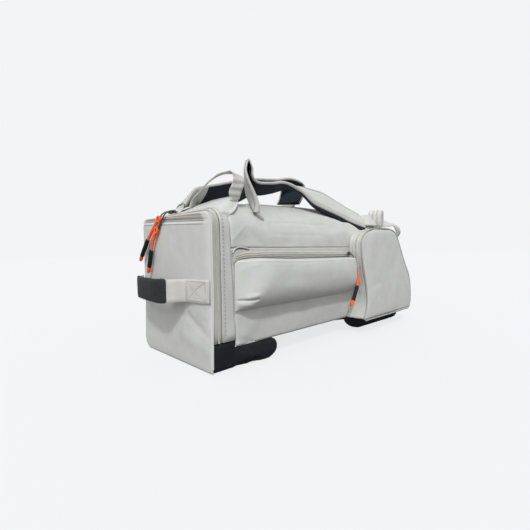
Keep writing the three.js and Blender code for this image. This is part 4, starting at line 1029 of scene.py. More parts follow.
def foot(name, outline, node, draw=0.0, proud=0.0):
    """A padded skid foot: a side outline carried across the bag. Its left end is scalloped and its front swells out."""
    dense = []
    for a, b in zip(outline, np.roll(outline, -1, 0)):
        cuts = max(1, int(np.linalg.norm(b - a) / FOOT_CUT))
        dense += [mix(a, b, k / cuts) for k in range(cuts)]
    closed = softened(np.array(dense))
    closed = np.vstack([closed, closed[:1]])
    run = run_along(closed)
    outline = columns_at(np.linspace(0, run[-1], FOOT_POINTS, endpoint=False), run, closed)
    low, high = outline.min(0), outline.max(0)
    centre, size = (low + high) / 2, high - low
    rows = [*FOOT_EDGE, *((y, 0.0, 1.0) for y in np.linspace(FOOT_FLAT_FROM, WIDTH / 2, FOOT_ROWS))]
    rows += [(WIDTH - y, inset, scale) for y, inset, scale in reversed(rows[:-1])]
    rings = []
    for y, inset, scale in rows:
        ring = centre + (outline - centre) * (1 - 2 * inset / size) * max(scale, FOOT_LEAST)
        crown = FOOT_CROWN * (1 - scale ** 2)
        across = y + crown if y > WIDTH / 2 else y - crown
        across = across - proud * max(0, 1 - y / PROUD_DEEP) * ease((ring[:, 0] - low[0]) / PROUD_RUN)
        scallop = draw * math.sin(2 * math.pi * y / WIDTH) ** 2 * (high[0] - ring[:, 0]) / size[0]
        rings.append(np.column_stack([ring[:, 0] + scallop, across, ring[:, 1]]))
    rings = np.array(rings)
    away = rings - np.array((centre[0], 0, centre[1]))
    away[..., 1] = 0
    z = rings[..., 2]
    free = np.clip((z - FOOT_SOLE) / FOOT_RUN, 0, 1) * np.clip((high[1] - z) / FOOT_RUN, 0, 1)
    ripple = np.minimum(rumple(rings, *FOOT_RUMPLE), FOOT_RUMPLE_MOST)
    pad = piece(name, loft(rings + unit(away) * (ripple * free)[..., None]), "black", node)
    box = ((low[0], -FOOT_OUT - proud, 0), (high[0], WIDTH + FOOT_OUT, high[1]))
    swollen(pad, FOOT_VOXEL, FOOT_CAP, (0, FOOT_SHRINK, 0), box)


def add_feet():
    left, right = CORNER_LOW[0], SEAM_X + SEAM_FOOT + GAP
    corner = np.array(((left, 0), (right, 0), (right, CORNER_TOP), (left, CORNER_TOP)))
    foot("corner_base_pad", corner, "corner_base")
    lap = SEAM_X - 2 * FOOT_LAP
    outline = np.vstack([[(lap, 0)], curves(LEFT_FOOT), [(lap, FOOT_TOP)]])
    foot("left_foot_pad", outline, "left_foot", proud=FOOT_PROUD)
    foot("right_foot_pad", curves(RIGHT_FOOT), "right_foot", RIGHT_FOOT_DRAW, FOOT_PROUD)


# Bellows pocket. Its left end rises from the seam in a broad rounded facet, which is shorter near the bottom.
POCKET_GRID, POCKET_TAPE_GRID, POCKET_CROWD = (230, 120), (120, 8), 0.08
POCKET_LEFT, POCKET_RIGHT, POCKET_END_ROUND = 59.0, 474.0, 15.0
POCKET_ZIP_Z, POCKET_ZIP_RIGHT, POCKET_ZIP_INSET = 231.0, 488.0, 4.0
POCKET_AT = (0, 0.08, 0.17, 0.27, 0.38, 0.5, 0.61, 0.71, 0.8, 0.89, 0.95, 1)
POCKET_Z = (118, 124, 132, 142, 154, 167, 180, 192, 203, 213, 219.5, 222)
POCKET_DEPTH = (0, 14, 24.5, 31.5, 36.5, 39.5, 40.5, 40.5, 39.5, 37.5, 33, 5)
HIP_Z = (114, 130, 145, 165, 186, 205, 222)
HIP_REACH = (34, 40, 52, 74, 96, 110, 116)
HIP_POWER = 2.6
POCKET_TOP_X = (59, 66, 90, 121, 225, 503)
POCKET_TOP_Z = (216, 222, 226, 227, 222.5, 220)
POCKET_COIL_X = (63, 75, 97, 223, 350, 500)
POCKET_COIL_Z = (230, 233.5, 236, 236.7, 234.5, 230.5)
POCKET_TEETH, POCKET_COIL_OUT = (7.6, 3.0, 0.27), 1.4
POCKET_HOOD = ((55, 237), (60, 243), (67, 247.5), (76, 248.5), (88, 247), (99, 244.5))
HOOD_SHIFT, HOOD_RADIUS = np.array((0, -0.8, 1.6)), 1.6
MOUTH_SHIFT, MOUTH_RADIUS, MOUTH_FADE = np.array((0, 0.2, -0.9)), 1.5, (0.12, np.pi - 0.1, 0.7)
ZIP_LIP_SHIFT, ZIP_LIP_RADIUS = np.array((0, 0.6, -7.0)), 1.0
POCKET_FOLDS = (
    (60, 140.5, 92, 141.5, 2.4, -6.0),
    (76, 147, 92, 150, 5, 2.5),
    (62, 132, 84, 128, 5, 3.0),
    (64, 200, 100, 214, 8, 1.0),
    (200, 205, 330, 196, 18, 1.2),
    (180, 160, 260, 150, 14, 1.0),
    (380, 210, 440, 150, 18, 1.2),
    (455, 200, 470, 150, 5, -1.6),
)
# Folds fade out up from the foot, in from the left end and where the pocket is shallow, and so do crumples
FOLD_RISE, FOLD_INWARD, FOLD_DEEP, POCKET_RUMPLE, RUMPLE_DEEP = 0.2, 4, 10, (0.8, 48), 12
pocket_z, pocket_depth = reader(POCKET_AT, POCKET_Z), reader(POCKET_AT, POCKET_DEPTH)
hip_reach = reader(HIP_Z, HIP_REACH)
pocket_top, pocket_coil = reader(POCKET_TOP_X, POCKET_TOP_Z), reader(POCKET_COIL_X, POCKET_COIL_Z)


def add_front_pocket():
    u, v = params(*POCKET_GRID)
    u = u - POCKET_CROWD * np.sin(2 * np.pi * u)
    x = mix(POCKET_LEFT, POCKET_RIGHT, u)
    z = pocket_z(v) + (pocket_top(x) - POCKET_Z[-1]) * v ** 3
    in_right = np.clip((POCKET_RIGHT - x) / POCKET_END_ROUND, 0, 1)
    in_left = np.clip((x - POCKET_LEFT) / hip_reach(z), 0, 1)
    depth = pocket_depth(v) * np.sqrt(1 - (1 - in_right) ** 2) * (1 - (1 - in_left) ** HIP_POWER)
    free = np.clip(v / FOLD_RISE, 0, 1) * np.clip((x - POCKET_LEFT) / FOLD_INWARD, 0, 1)
    depth = np.maximum(depth + folds(x, z, POCKET_FOLDS) * free * np.clip(depth / FOLD_DEEP, 0, 1), 0)
    spot = np.stack([x, pocket_seat(x, z) - WALL - depth, z], -1)
    spot[..., 1] -= rumple(spot, *POCKET_RUMPLE) * np.clip(depth / RUMPLE_DEEP, 0, 1)
    shell("front_pocket_cloth", spot, WALL, "fabric", "front_pocket")

    u, v = params(*POCKET_TAPE_GRID)
    x = mix(SEAM_X + GAP, POCKET_ZIP_RIGHT, u)
    z = mix(pocket_top(x) + GAP, FLAP_Z - GAP, v)
    tape = np.stack([x, pocket_seat(x, z) - ZIP_TAPE_WALL, z], -1)
    shell("pocket_zip_tape_cloth", tape, ZIP_TAPE_WALL, "tape", "pocket_zip_tape")

    x = np.linspace(POCKET_LEFT + POCKET_ZIP_INSET, POCKET_ZIP_RIGHT, 200)
    z = pocket_coil(x)
    line = np.stack([x, pocket_seat(x, z) - ZIP_TAPE_WALL - POCKET_COIL_OUT, z], -1)
    piece("pocket_zip_teeth", zip_teeth(line, (0, -1.0, 0), *POCKET_TEETH), "coil", "pocket_zip_coil")
    hood = smooth_line([(x, 0, z) for x, z in POCKET_HOOD])(np.linspace(0, len(POCKET_HOOD) - 1, 50))
    hood[:, 1] = pocket_seat(hood[:, 0], hood[:, 2]) - ZIP_TAPE_WALL
    edges = [tube(line + ZIP_LIP_SHIFT, ZIP_LIP_RADIUS), tube(hood + HOOD_SHIFT, HOOD_RADIUS)]
    piece("pocket_zip_edges", joined(edges), "tape")
    # A dark tube under the hood is painted shade in the mouth of the zip.
    start, end, power = MOUTH_FADE
    fade = np.sin(np.linspace(start, end, 50)) ** power
    piece("pocket_zip_mouth_painted_shade", tube(hood + MOUTH_SHIFT, MOUTH_RADIUS * fade), "mouth_shade")


# Boot pocket
BOOT_FACE_GRID, BOOT_GUSSET_GRID = (110, 130), (321, 22)
BOOT_Z = (46, 64, 100, 145, 190, 240, 270, 291, 301)
BOOT_LEFT = (475, 485, 497, 498, 492, 489, 494, 522, 566)
BOOT_RIGHT = (760, 773, 782, 782, 758, 734, 719, 702, 676)
BOOT_OUT = (60, 59, 56, 52, 48, 44, 42, 41, 40)
BOOT_BOTTOM_Z, BOOT_BOTTOM_FROM, BOOT_BOTTOM_TO = 44.0, 510.0, 725.0
BOOT_CROWN, BOOT_POWERS, BOOT_RUMPLE = 7.0, (0.6, 0.5, 0.97), (0.9, 44)
BOOT_FOLDS = ((500, 128, 560, 140, 10, -1.8), (486, 70, 530, 98, 8, 1.8), (640, 60, 700, 170, 26, 1.8),
              (740, 66, 774, 58, 4, -2.4), (590, 240, 690, 150, 30, -1.6), (510, 200, 540, 270, 14, 1.2))
BOOT_PUCKERS = ((-52, 100, -30, 84, 5, -1.6), (-55, 76, -26, 60, 5, 1.8), (-50, 128, -34, 120, 6, 1.2))
BOOT_GUSSET_RUMPLE = (0.7, 24)
# Stops are counted once round the pocket
BOOT_STOPS, BOOT_ZIP_FROM, BOOT_ZIP_TO, PIPING_STOP = 40, 6, 28, 39.4
BOOT_ZIP_OUT, BOOT_ZIP_DEPTH, BOOT_EDGE_OUT, BOOT_EDGE_RADIUS, BOOT_EDGES = 1.4, 0.45, 0.5, 1.1, (0.22, 0.68)
PIPING_RADIUS, PIPING_SINK, PIPING_SIDES = 2.2, 0.8, 10
boot_left, boot_right, boot_out = (reader(BOOT_Z, c) for c in (BOOT_LEFT, BOOT_RIGHT, BOOT_OUT))
boot_corners = [(x, 0, z) for x, z in zip(BOOT_LEFT, BOOT_Z)] + [(x, 0, z) for x, z in zip(BOOT_RIGHT, BOOT_Z)][::-1]
boot_corners += [(BOOT_BOTTOM_TO, 0, BOOT_BOTTOM_Z), (BOOT_BOTTOM_FROM, 0, BOOT_BOTTOM_Z)]
boot_loop = smooth_line(boot_corners, closed=True)


def round_boot(start, end, count, clear, share):
    """A line round the boot pocket between two stops, clear of its gusset at a share of its depth, with its way out."""
    place = np.linspace(start, end, count) / BOOT_STOPS * len(boot_corners)
    middle = boot_loop(place)
    ahead = unit(boot_loop(place + 0.02) - boot_loop(place - 0.02))
    out = np.stack([-ahead[:, 2], 0 * ahead[:, 0], ahead[:, 0]], -1)
    y = mix(-boot_out(middle[:, 2]) + 1, pocket_seat(middle[:, 0], middle[:, 2]), share)
    return np.stack([middle[:, 0], y, middle[:, 2]], -1) + out * clear, out


def add_boot_pocket():
    u, v = params(*BOOT_FACE_GRID)
    z = mix(BOOT_Z[0], BOOT_Z[-1], np.sin((np.pi / 2) * v))
    held = swell(u, v, *BOOT_POWERS)
    x = mix(boot_left(z) + 2 * GAP, boot_right(z) - 2 * GAP, u)
    spot = np.stack([x, -boot_out(z) - BOOT_CROWN * held, z], -1)
    spot[..., 1] -= held * (folds(x, z, BOOT_FOLDS) + rumple(spot, *BOOT_RUMPLE))
    shell("boot_face_cloth", spot, WALL, "fabric", "boot_pocket_face")

    u, v = (share[:-1] for share in params(*BOOT_GUSSET_GRID))
    ring = boot_loop(u[:, 0] * len(boot_corners))[:, None] + 0 * v[..., None]
    x, z = ring[..., 0], ring[..., 2]
    y = mix(-boot_out(z) + WALL + GAP, pocket_seat(x, z), v)
    spot = np.stack([x, y, z], -1)
    relief = (rumple(spot, *BOOT_GUSSET_RUMPLE) + folds(y, z, BOOT_PUCKERS)) * np.sin(np.pi * v)
    spot = spot + grid_out(spot, True) * relief[..., None]
    shell("boot_gusset_cloth", spot, WALL, "fabric", "boot_pocket_gusset", loop=True)

    # The piping's darker grey carries painted seam shade as well as its own colour.
    pipe, _ = round_boot(0, PIPING_STOP, 330, PIPING_RADIUS + 3 * GAP - PIPING_SINK, 0)
    piece("boot_piping", tube(pipe, PIPING_RADIUS, PIPING_SIDES), "piping_seam_shade", "boot_pocket_piping")
    teeth = round_boot(BOOT_ZIP_FROM, BOOT_ZIP_TO, 300, BOOT_ZIP_OUT, BOOT_ZIP_DEPTH)
    piece("boot_zip_teeth", zip_teeth(*teeth), "coil", "boot_pocket_zip")
    edges = [round_boot(BOOT_ZIP_FROM, BOOT_ZIP_TO, 260, BOOT_EDGE_OUT, share)[0] for share in BOOT_EDGES]
    piece("boot_zip_edges", joined([tube(line, BOOT_EDGE_RADIUS) for line in edges]), "tape")


# Bands of webbing and padded straps. Rows of a route are x, y, z, turn about the vertical, tilt and half width.
WEBBING, ROUTE_STEP, BAND_RUMPLE_SIZE = 2.4, 1e-3, 22
HANDLE_Z, HANDLE_HALF = 163.0, 24.0
HANDLE_PATH = ((0.4, 1), (-4.6, 36), (-7.2, 62), (-13, 76), (-32, 87), (-47, 104), (-50, 150), (-44, 205), (-30, 252),
               (-11, 279), (-2.2, 294))
# Boxes, bars and the bars' outward direction are counted in stations along the handle
HANDLE_STATIONS, HANDLE_BOXES = 400, ((12, 92), (330, 388))
HANDLE_BARS, HANDLE_BAR_OUT, BAR_REACH = (100, 104), 102, 0.9
GRIP_FROM, GRIP_TO, GRIP_HALF, GRIP_THICK, GRIP_SQUARENESS = 0.455, 0.8, 26.4, 8.4, 0.45
GRIP_STATIONS, GRIP_SIDES, GRIP_PINCH = 60, 48, (0.1, 0.1, 0.02)
GRIP_VOXEL, GRIP_CAP = 3.0, 1.6
GRIP_STITCH, GRIP_STITCH_LIFT, GRIP_STITCH_AT, GRIP_STITCH_CLEAR = (3.0, 0.8, 0.6), 0.9, 0.9, 3
# From back to front. The run over the top lies edge-on to the front corner.
HAUL_PATH = (
    (82, 186, 351, 60, 0, 18), (82, 178, 371, 44, -5, 18), (82, 146, 389, 36, -7, 18), (82, 112, 404, 35, -7, 18),
    (83, 84, 412, 35, -7, 18), (87, 56, 414, 38, -5, 18), (93, 36, 411, 58, 0, 17), (96, 25, 401, 86, 0, 15),
    (94, 24, 386, 100, 0, 15), (90, 29, 371, 102, 0, 15), (92, 35, 356, 98, 0, 12),
)
GATHER_FROM, GATHER_RUN, GATHER_PITCH, GATHER_DEPTH, GATHER_ASIDE = 0.66, 0.2, 15.0, 0.9, 0.6
YOKE_GRID, YOKE_FROM, YOKE_START, YOKE_UNDER, YOKE_EDGE = (60, 120), 28.0, 3.0, -1.6, 0.4
YOKE_RIGHT_AT = (3.0, 3.8, 4.4, 4.9, 5.5, 7)
YOKE_RIGHT = (54, 80, 99, 112, 120, 124)
# Runs are in shares of the yoke's length or in steps round the body
YOKE_CLEAR, YOKE_RUMPLE, YOKE_CLEAR_RUN, YOKE_CLEAR_STEPS, YOKE_EDGE_STEPS = 0.8, (0.6, 28), 0.35, 0.5, 0.6
YOKE_BACK_FLAT, YOKE_BACK_STEPS = 0.85, 2.5
YOKE_LIFT, YOKE_LIFT_FROM, YOKE_LIFT_RUN, YOKE_LIFT_STEP, YOKE_LIFT_STEPS = 12.0, 0.15, 0.6, 3.8, 1.6
YOKE_LIP, YOKE_LIP_RUN, YOKE_LIP_STEPS = 4.0, 0.12, 0.4
NEAR_STRAP = (
    (141, 19, 328, 20, -4, 9), (147, 31, 347, 20, -4, 22), (148, 46, 376, 26, -8, 33), (146, 54, 405, 35, -11, 37),
    (147, 60, 434, 39, -13, 36), (155, 61, 455, 36, -12, 34), (160, 63, 436, 28, -8, 36), (165, 68, 410, 28, 4, 37),
    (188, 69, 396, 38, 13, 37), (235, 66, 401, 42, 9, 37), (285, 65, 412, 40, 2, 37), (336, 64, 410, 32, -20, 37),
    (380, 62, 398, 28, -43, 37), (438, 56, 387, 34, -52, 37), (490, 49, 372, 33, -50, 37), (545, 38, 352, 31, -48, 36),
    (600, 24, 334, 28, -46, 33),
)
FAR_STRAP = (
    (62, 212, 356, 8, 8, 26), (98, 210, 382, 28, 26, 34), (134, 206, 389, 33, 32, 38), (173, 202, 394, 34, 38, 41),
    (214, 196, 404, 34, 38, 42), (290, 183, 430, 34, 20, 41), (340, 166, 441, 28, 8, 37), (382, 152, 447, 8, 8, 37),
    (403, 141, 432, -30, 10, 37), (396, 137, 408, -46, 5, 37), (378, 136, 381, -48, 0, 34),
)
NEAR_TAB = ((155, 11, 317.2, 223, 40, 5), (148, 13, 322, 223, 40, 5.5), (140, 16.5, 329, 223, 40, 6))
FAR_TAB = ((42, 214, 338.5, -35, 0, 16), (50, 213, 343, -25, 4, 18), (61.5, 212, 355.6, 4, 8, 22))
FAR_END_TAB = ((377.3, 136, 380, -48, 0, 20), (375.5, 136, 372, -46, 0, 20), (392, 148, 367.4, -40, 0, 20),
               (424, 168, 367.4, -38, 0, 20))
NEAR_WEBBING = (
    (600.9, 23.8, 333.7, 28, -46, 23), (632, 15, 336, 20, -54, 23), (664, 7, 337, 14, -58, 23),
    (700, 0, 331, 14, -46, 23), (738, -6, 326, 42, -22, 21), (774, -10, 318, 80, -8, 19), (795, -8, 301, 88, 0, 19),
    (804, 2, 281, 62, 0, 20), (801, 17, 260, 20, 0, 23), (797.1, 22, 236, 6, 0, 23),
)
# Sections are a share across and a height, here as a share of the webbing
BAND_SECTION = np.array((
    (-1, 0.5), (-0.97, 0.95), (-0.7, 1.0), (-0.35, 1.0), (0, 1.0), (0.35, 1.0), (0.7, 1.0), (0.97, 0.95),
    (1, 0.5), (0.97, 0.05), (0.7, 0), (0.35, 0), (0, 0), (-0.35, 0), (-0.7, 0), (-0.97, 0.05),
)) * np.array((1, WEBBING))
BOX_CORNER, BOX_LIFT, BOX_STEPS, SMALL_BOX = 0.82, WEBBING + 0.1, 14, 0.8
STRAP_EDGE, STRAP_CROWN, STRAP_CROWN_POWER = 2.2, 4.3, 2.4
STRAP_LOW_EDGE, STRAP_BELLY, STRAP_BELLY_POWER = -2.3, 4.6, 2.8
STRAP_POINTS, STRAP_RUMPLE = 25, (0.5, 26)
COVER_REACH, COVER_WALL, PAD_REACH, PAD_BELOW = 0.985, 1.6, 0.95, 2.1
BINDING_WIDE, BINDING_UNDER, BINDING_SEAT, BINDING_MID, BINDING_LOW_MID = 8.0, 3.2, 0.3, 0.5, 0.6
BINDING_OVER, BINDING_BELOW = (0.7, 0.9), (0.7, 0.6)
BINDING_OUTSIDE = ((0.985, 2.7), (1.02, 1.4), (1.03, -0.3), (1.02, -2.0), (0.99, -3.2))
BINDING_INSIDE = ((0.97, -1.9), (0.985, 0), (0.97, 1.6))
STRAP_STITCH_IN, STRAP_STITCH_LIFT = 1.25, 0.3
NEAR_FOLD_ROW, FOLD_PRESS, FOLD_REACH = 5.0, 0.5, 1.9
# The sag has the rows where it starts and ends and its drop
NEAR_SAG, SAG_WAY, SAG_POWER, SAG_AT, SAG_WIDE = (10.8, 16.8, 20.0), np.array((0, -0.4, -0.92)), 0.6, 0.9, 0.4
FAR_WRAP_ROWS, WRAP_SLANT, WRAP_REACH, WRAP_OVER, WRAP_BELOW, WRAP_RINGS = 1.7, 0.5, 0.99, 0.5, 0.9, 40


def strap_frames(rows, count, start=0.0, end=1.0):
    """Stations along a route: the middle of the band, its directions across and outward, and half its width."""
    rows = np.array(rows, float)
    last = len(rows) - 1
    index = np.linspace(start * last, end * last, count)
    line = smooth_line(rows[:, :3])
    ahead = unit(line(np.minimum(index + ROUTE_STEP, last)) - line(np.maximum(index - ROUTE_STEP, 0)))
    turn, tilt, half = (reader(np.arange(last + 1), rows[:, k])(index) for k in (3, 4, 5))
    turn, tilt = np.radians(turn), np.radians(tilt)
    across = np.stack([-np.sin(turn) * np.cos(tilt), -np.cos(turn) * np.cos(tilt), np.sin(tilt)], -1)
    return line(index), across, unit(np.cross(across, ahead)), half


def section_rings(frames, section):
    """Rings of a section carried along stations."""
    middle, across, out, half = frames
    section = np.broadcast_to(section, (len(middle), *section.shape[-2:]))
    wide = section[..., :1] * half[:, None, None]
    return middle[:, None] + across[:, None] * wide + out[:, None] * section[..., 1:]


def crumpled(rings, out, height, size=BAND_RUMPLE_SIZE):
    return rings + out[:, None] * rumple(rings, height, size)[..., None]


def pinched(t, first, last, reach):
    """Share of a width that is drawn in at its first and last end."""
    return 1 - first * np.exp(-t / reach) - last * np.exp(-(1 - t) / reach)


def band(name, rows, count, node, crumple):
    frames = strap_frames(rows, count)
    piece(name, loft(crumpled(section_rings(frames, BAND_SECTION), frames[2], crumple)), "webbing", node)


def sewn_box(frames, low, high, corner=BOX_CORNER):
    """Box and cross of stitches on a band between two of its stations."""
    middle, across, out, half = frames
    loop = [(low, -corner), (high, -corner), (high, corner), (low, corner), (low, -corner)]
    steps = np.linspace(0, 1, BOX_STEPS)
    sewn = []
    for start, end in [*zip(loop, loop[1:]), (loop[0], loop[2]), (loop[3], loop[1])]:
        k = np.round(mix(start[0], end[0], steps)).astype(int)
        share = mix(start[1], end[1], steps)
        line = middle[k] + across[k] * (share * half[k])[:, None] + out[k] * BOX_LIFT
        sewn.append(box_stitches(line, out[(low + high) // 2]))
    return sewn


def strap_top(share):
    return STRAP_EDGE + STRAP_CROWN * (1 - np.abs(share) ** STRAP_CROWN_POWER)


def strap_under(share):
    return STRAP_LOW_EDGE - STRAP_BELLY * (1 - np.abs(share) ** STRAP_BELLY_POWER)


def strap_section(reach, above, under, below):
    """A section over the top of a strap from edge to edge and back along an underside."""
    share = np.linspace(-reach, reach, STRAP_POINTS)
    back = share[::-1]
    height = np.concatenate([strap_top(share) + above, under(back) - below])
    return np.stack([np.concatenate([share, back]), height], -1)


def binding_section(half):
    """Section of a bound edge at each station: over the top, round the edge to the underside, and back inside."""
    near, mid = 1 - BINDING_WIDE / half, 1 - BINDING_MID * BINDING_WIDE / half
    low, low_mid = 1 - BINDING_UNDER / half, 1 - BINDING_LOW_MID * BINDING_UNDER / half
    one = np.ones_like(half)
    rows = [(share, strap_top(share) + over) for share, over in zip((near, mid), BINDING_OVER)]
    rows += [(share * one, height * one) for share, height in BINDING_OUTSIDE]
    rows += [(share, strap_under(share) - below) for share, below in zip((low_mid, low), BINDING_BELOW)]
    rows += [(share, strap_under(share) + BINDING_SEAT) for share in (low, low_mid)]
    rows += [(share * one, height * one) for share, height in BINDING_INSIDE]
    rows += [(share, strap_top(share) - BINDING_SEAT) for share in (mid, near)]
    return np.stack([np.stack(row, -1) for row in rows], 1)


def padded_strap(name, rows, count, fold=None, sag=None, wrap=0.0):
    """A padded strap: cover, pad and bound edges. It is pressed flat at a fold, and its pad sags under one stretch."""
    frames = strap_frames(rows, count)
    middle, across, out, half = frames
    place = np.linspace(0, len(rows) - 1, count)
    flat = np.ones(count) if fold is None else 1 - FOLD_PRESS * np.exp(-((place - fold) / FOLD_REACH) ** 2)

    def rings_of(section):
        section = np.broadcast_to(section, (count, *section.shape[-2:])).copy()
        section[..., 1] *= flat[:, None]
        return crumpled(section_rings(frames, section), out, *STRAP_RUMPLE)

    cover = rings_of(strap_section(COVER_REACH, 0, strap_top, COVER_WALL))
    piece(f"{name}_cover_cloth", loft(cover), "fabric", f"{name}_cover")

    section = strap_section(PAD_REACH, -PAD_BELOW, strap_under, 0)
    rings = rings_of(section)
    if sag:
        start, end, drop = sag
        deep = np.sin(np.pi * np.clip((place - start) / (end - start), 0, 1)) ** SAG_POWER
        hang = drop * deep[:, None] * np.exp(-((section[STRAP_POINTS:, 0] - SAG_AT) / SAG_WIDE) ** 2)
        rings[:, STRAP_POINTS:] += hang[..., None] * SAG_WAY
    pad = piece(f"{name}_pad_mesh", loft(rings), "mesh", f"{name}_pad")
    if wrap:
        section = strap_section(WRAP_REACH, WRAP_OVER, strap_under, WRAP_BELOW)
        whole = rings_of(section)
        stops = np.linspace(0, 1, WRAP_RINGS)[:, None] * (wrap + WRAP_SLANT * section[:, 0])
        columns = [columns_at(stops[:, j], place, whole[:, j]) for j in range(len(section))]
        piece(f"{name}_end_wrap", loft(np.stack(columns, 1)), "fabric")

    bound = binding_section(half)
    edges = [loft(rings_of(bound * np.array((hand, 1)))) for hand in (-1, 1)]
    piece(f"{name}_binding", joined(edges), "binding")
    seams = []
    for hand in (-1, 1):
        share = hand * (1 - STRAP_STITCH_IN * BINDING_WIDE / half)
        lift = strap_top(share) * flat + STRAP_STITCH_LIFT
        seams.append(stitches(middle + across * (share * half)[:, None] + out * lift[:, None], out))
    piece(f"{name}_stitching", joined(seams), "thread_hole_shade")


def add_end_handle():
    rows = [(x, y, HANDLE_Z, 0, 90, HANDLE_HALF) for x, y in HANDLE_PATH]
    band("end_handle_band", rows, 130, "end_handle_webbing", 0.9)
    middle, across, out, _ = strap_frames(rows, GRIP_STATIONS, GRIP_FROM, GRIP_TO)
    side, face = (squared(wave(-turns(GRIP_SIDES)), GRIP_SQUARENESS)[None, :, None] for wave in (np.cos, np.sin))
    pinch = pinched(np.linspace(0, 1, GRIP_STATIONS), *GRIP_PINCH)[:, None, None]
    rings = (middle[:, None] + across[:, None] * (side * GRIP_HALF * pinch)
             + out[:, None] * (WEBBING / 2 + face * GRIP_THICK / 2 * pinch))
    grip = piece("end_handle_grip_pad", loft(crumpled(rings, out, 0.5)), "grip", "end_handle_grip")
    swollen(grip, GRIP_VOXEL, GRIP_CAP)

    whole = strap_frames(rows, HANDLE_STATIONS)
    sewn = [row for low, high in HANDLE_BOXES for row in sewn_box(whole, low, high)]
    at, sideways, outward, _ = whole
    bar = np.linspace(-BAR_REACH, BAR_REACH, 12)[:, None] * HANDLE_HALF
    for k in HANDLE_BARS:
        sewn.append(box_stitches(at[k] + sideways[k] * bar + outward[k] * BOX_LIFT, outward[HANDLE_BAR_OUT]))
    piece("end_handle_stitching", joined(sewn), "band_thread_hole_shade")
    lift = WEBBING / 2 + GRIP_THICK / 2 + GRIP_STITCH_LIFT
    inside = slice(GRIP_STITCH_CLEAR, -GRIP_STITCH_CLEAR)
    seams = []
    for share in (-GRIP_STITCH_AT, GRIP_STITCH_AT):
        line = middle + across * (share * GRIP_HALF) + out * lift
        seams.append(stitches(line[inside], out[inside], BOX_STITCH_PITCH, GRIP_STITCH))
    piece("grip_stitching", joined(seams), "black_thread")


def add_haul_loop():
    frames = strap_frames(HAUL_PATH, 160)
    middle, across, out, _ = frames
    run = np.cumsum(np.linalg.norm(np.gradient(middle, axis=0), axis=1))
    gather = GATHER_DEPTH * np.sin(run / GATHER_PITCH * 2 * np.pi) * ease((run / run[-1] - GATHER_FROM) / GATHER_RUN)
    rings = section_rings(frames, BAND_SECTION) + ((out + across * GATHER_ASIDE) * gather[:, None])[:, None]
    piece("haul_loop_band", loft(crumpled(rings, out, 1.0)), "webbing", "haul_loop")


def add_yoke():
    u, v = params(*YOKE_GRID)
    step = mix(YOKE_START, BODY_STEPS - YOKE_START, v)
    climb = np.minimum(step, BODY_STEPS - step)
    above = climb - YOKE_START
    x = mix(YOKE_FROM, reader(YOKE_RIGHT_AT, YOKE_RIGHT)(climb), u)
    cloth = WALL + YOKE_CLEAR + rumple(on_body(x, step, BASE_Z), *YOKE_RUMPLE)
    lift = mix(YOKE_UNDER, YOKE_EDGE, ease(above / YOKE_EDGE_STEPS))
    lift = lift + cloth * (ease(u / YOKE_CLEAR_RUN) * ease(above / YOKE_CLEAR_STEPS))
    front = 1 - YOKE_BACK_FLAT * ease((step - BODY_STEPS / 2) / YOKE_BACK_STEPS)
    tent = ease((u - YOKE_LIFT_FROM) / YOKE_LIFT_RUN) * ease((climb - YOKE_LIFT_STEP) / YOKE_LIFT_STEPS)
    lip = np.exp(-(1 - u) / YOKE_LIP_RUN) * ease(above / YOKE_LIP_STEPS)
    lift = lift + front * (YOKE_LIFT * tent + YOKE_LIP * lip)
    shell("top_yoke_cloth", on_body(x, step, BASE_Z, -lift), WALL, "fabric", "top_yoke")


def add_straps():
    padded_strap("near_strap", NEAR_STRAP, 240, NEAR_FOLD_ROW, NEAR_SAG)
    padded_strap("far_strap", FAR_STRAP, 150, wrap=FAR_WRAP_ROWS)
    band("near_strap_tab_band", NEAR_TAB, 30, "near_strap_tab", 0.3)
    band("far_strap_tab_band", FAR_TAB, 30, "far_strap_tab", 0.3)
    band("far_strap_end_band", FAR_END_TAB, 50, "far_strap_end_tab", 0.3)
    band("near_strap_tail", NEAR_WEBBING, 140, "near_strap_webbing", 0.8)
    tail = sewn_box(strap_frames(NEAR_WEBBING, 300), 268, 297, SMALL_BOX)
    piece("tail_stitching", joined(tail), "band_thread_hole_shade")
    end = sewn_box(strap_frames(FAR_END_TAB, 120), 70, 116, SMALL_BOX)
    piece("end_tab_stitching", joined(end), "band_thread_hole_shade")


# The lock is wound with webbing: layers of length along the winding's axis, depth, height and shift
LOCK_AT, LOCK_AXIS, LOCK_LEAN = np.array((664.0, 7.0, 342.0)), (0.2, -0.98, -0.06), np.array((-0.02, -0.14, 0.99))
LOCK_LAYERS = ((43.0, 29.0, 50.0, 0.0), (12.6, 34.0, 54.5, -14.5), (12.6, 37.0, 58.0, 0.0), (13.0, 36.0, 57.0, 14.5))
LOCK_EDGE, LOCK_SIDES, LOCK_ROUND = 1.8, 56, 0.72
# Rows of a rounded end: how far in, as a share of the edge, and a share of the section
BAR_END = ((0, 0.03), (0, 0.55), (0, 0.8), (0.3, 0.93), (1, 1.0))


def rounded_bar(centre, axes, size, edge, sides=28, power=0.42):
    """Form of a bar with rounded edges: length along the first axis, then width and height."""
    ahead, side, up = axes
    length, wide, high = size
    y, z = (squared(wave(turns(sides)), power)[:, None] / 2 for wave in (np.cos, np.sin))
    around = side * y * wide + up * z * high
    first = [(inward * edge - length / 2, scale) for inward, scale in BAR_END]
    stops = first + [(-at, scale) for at, scale in reversed(first)]
    return loft([centre + ahead * at + around * scale for at, scale in stops])


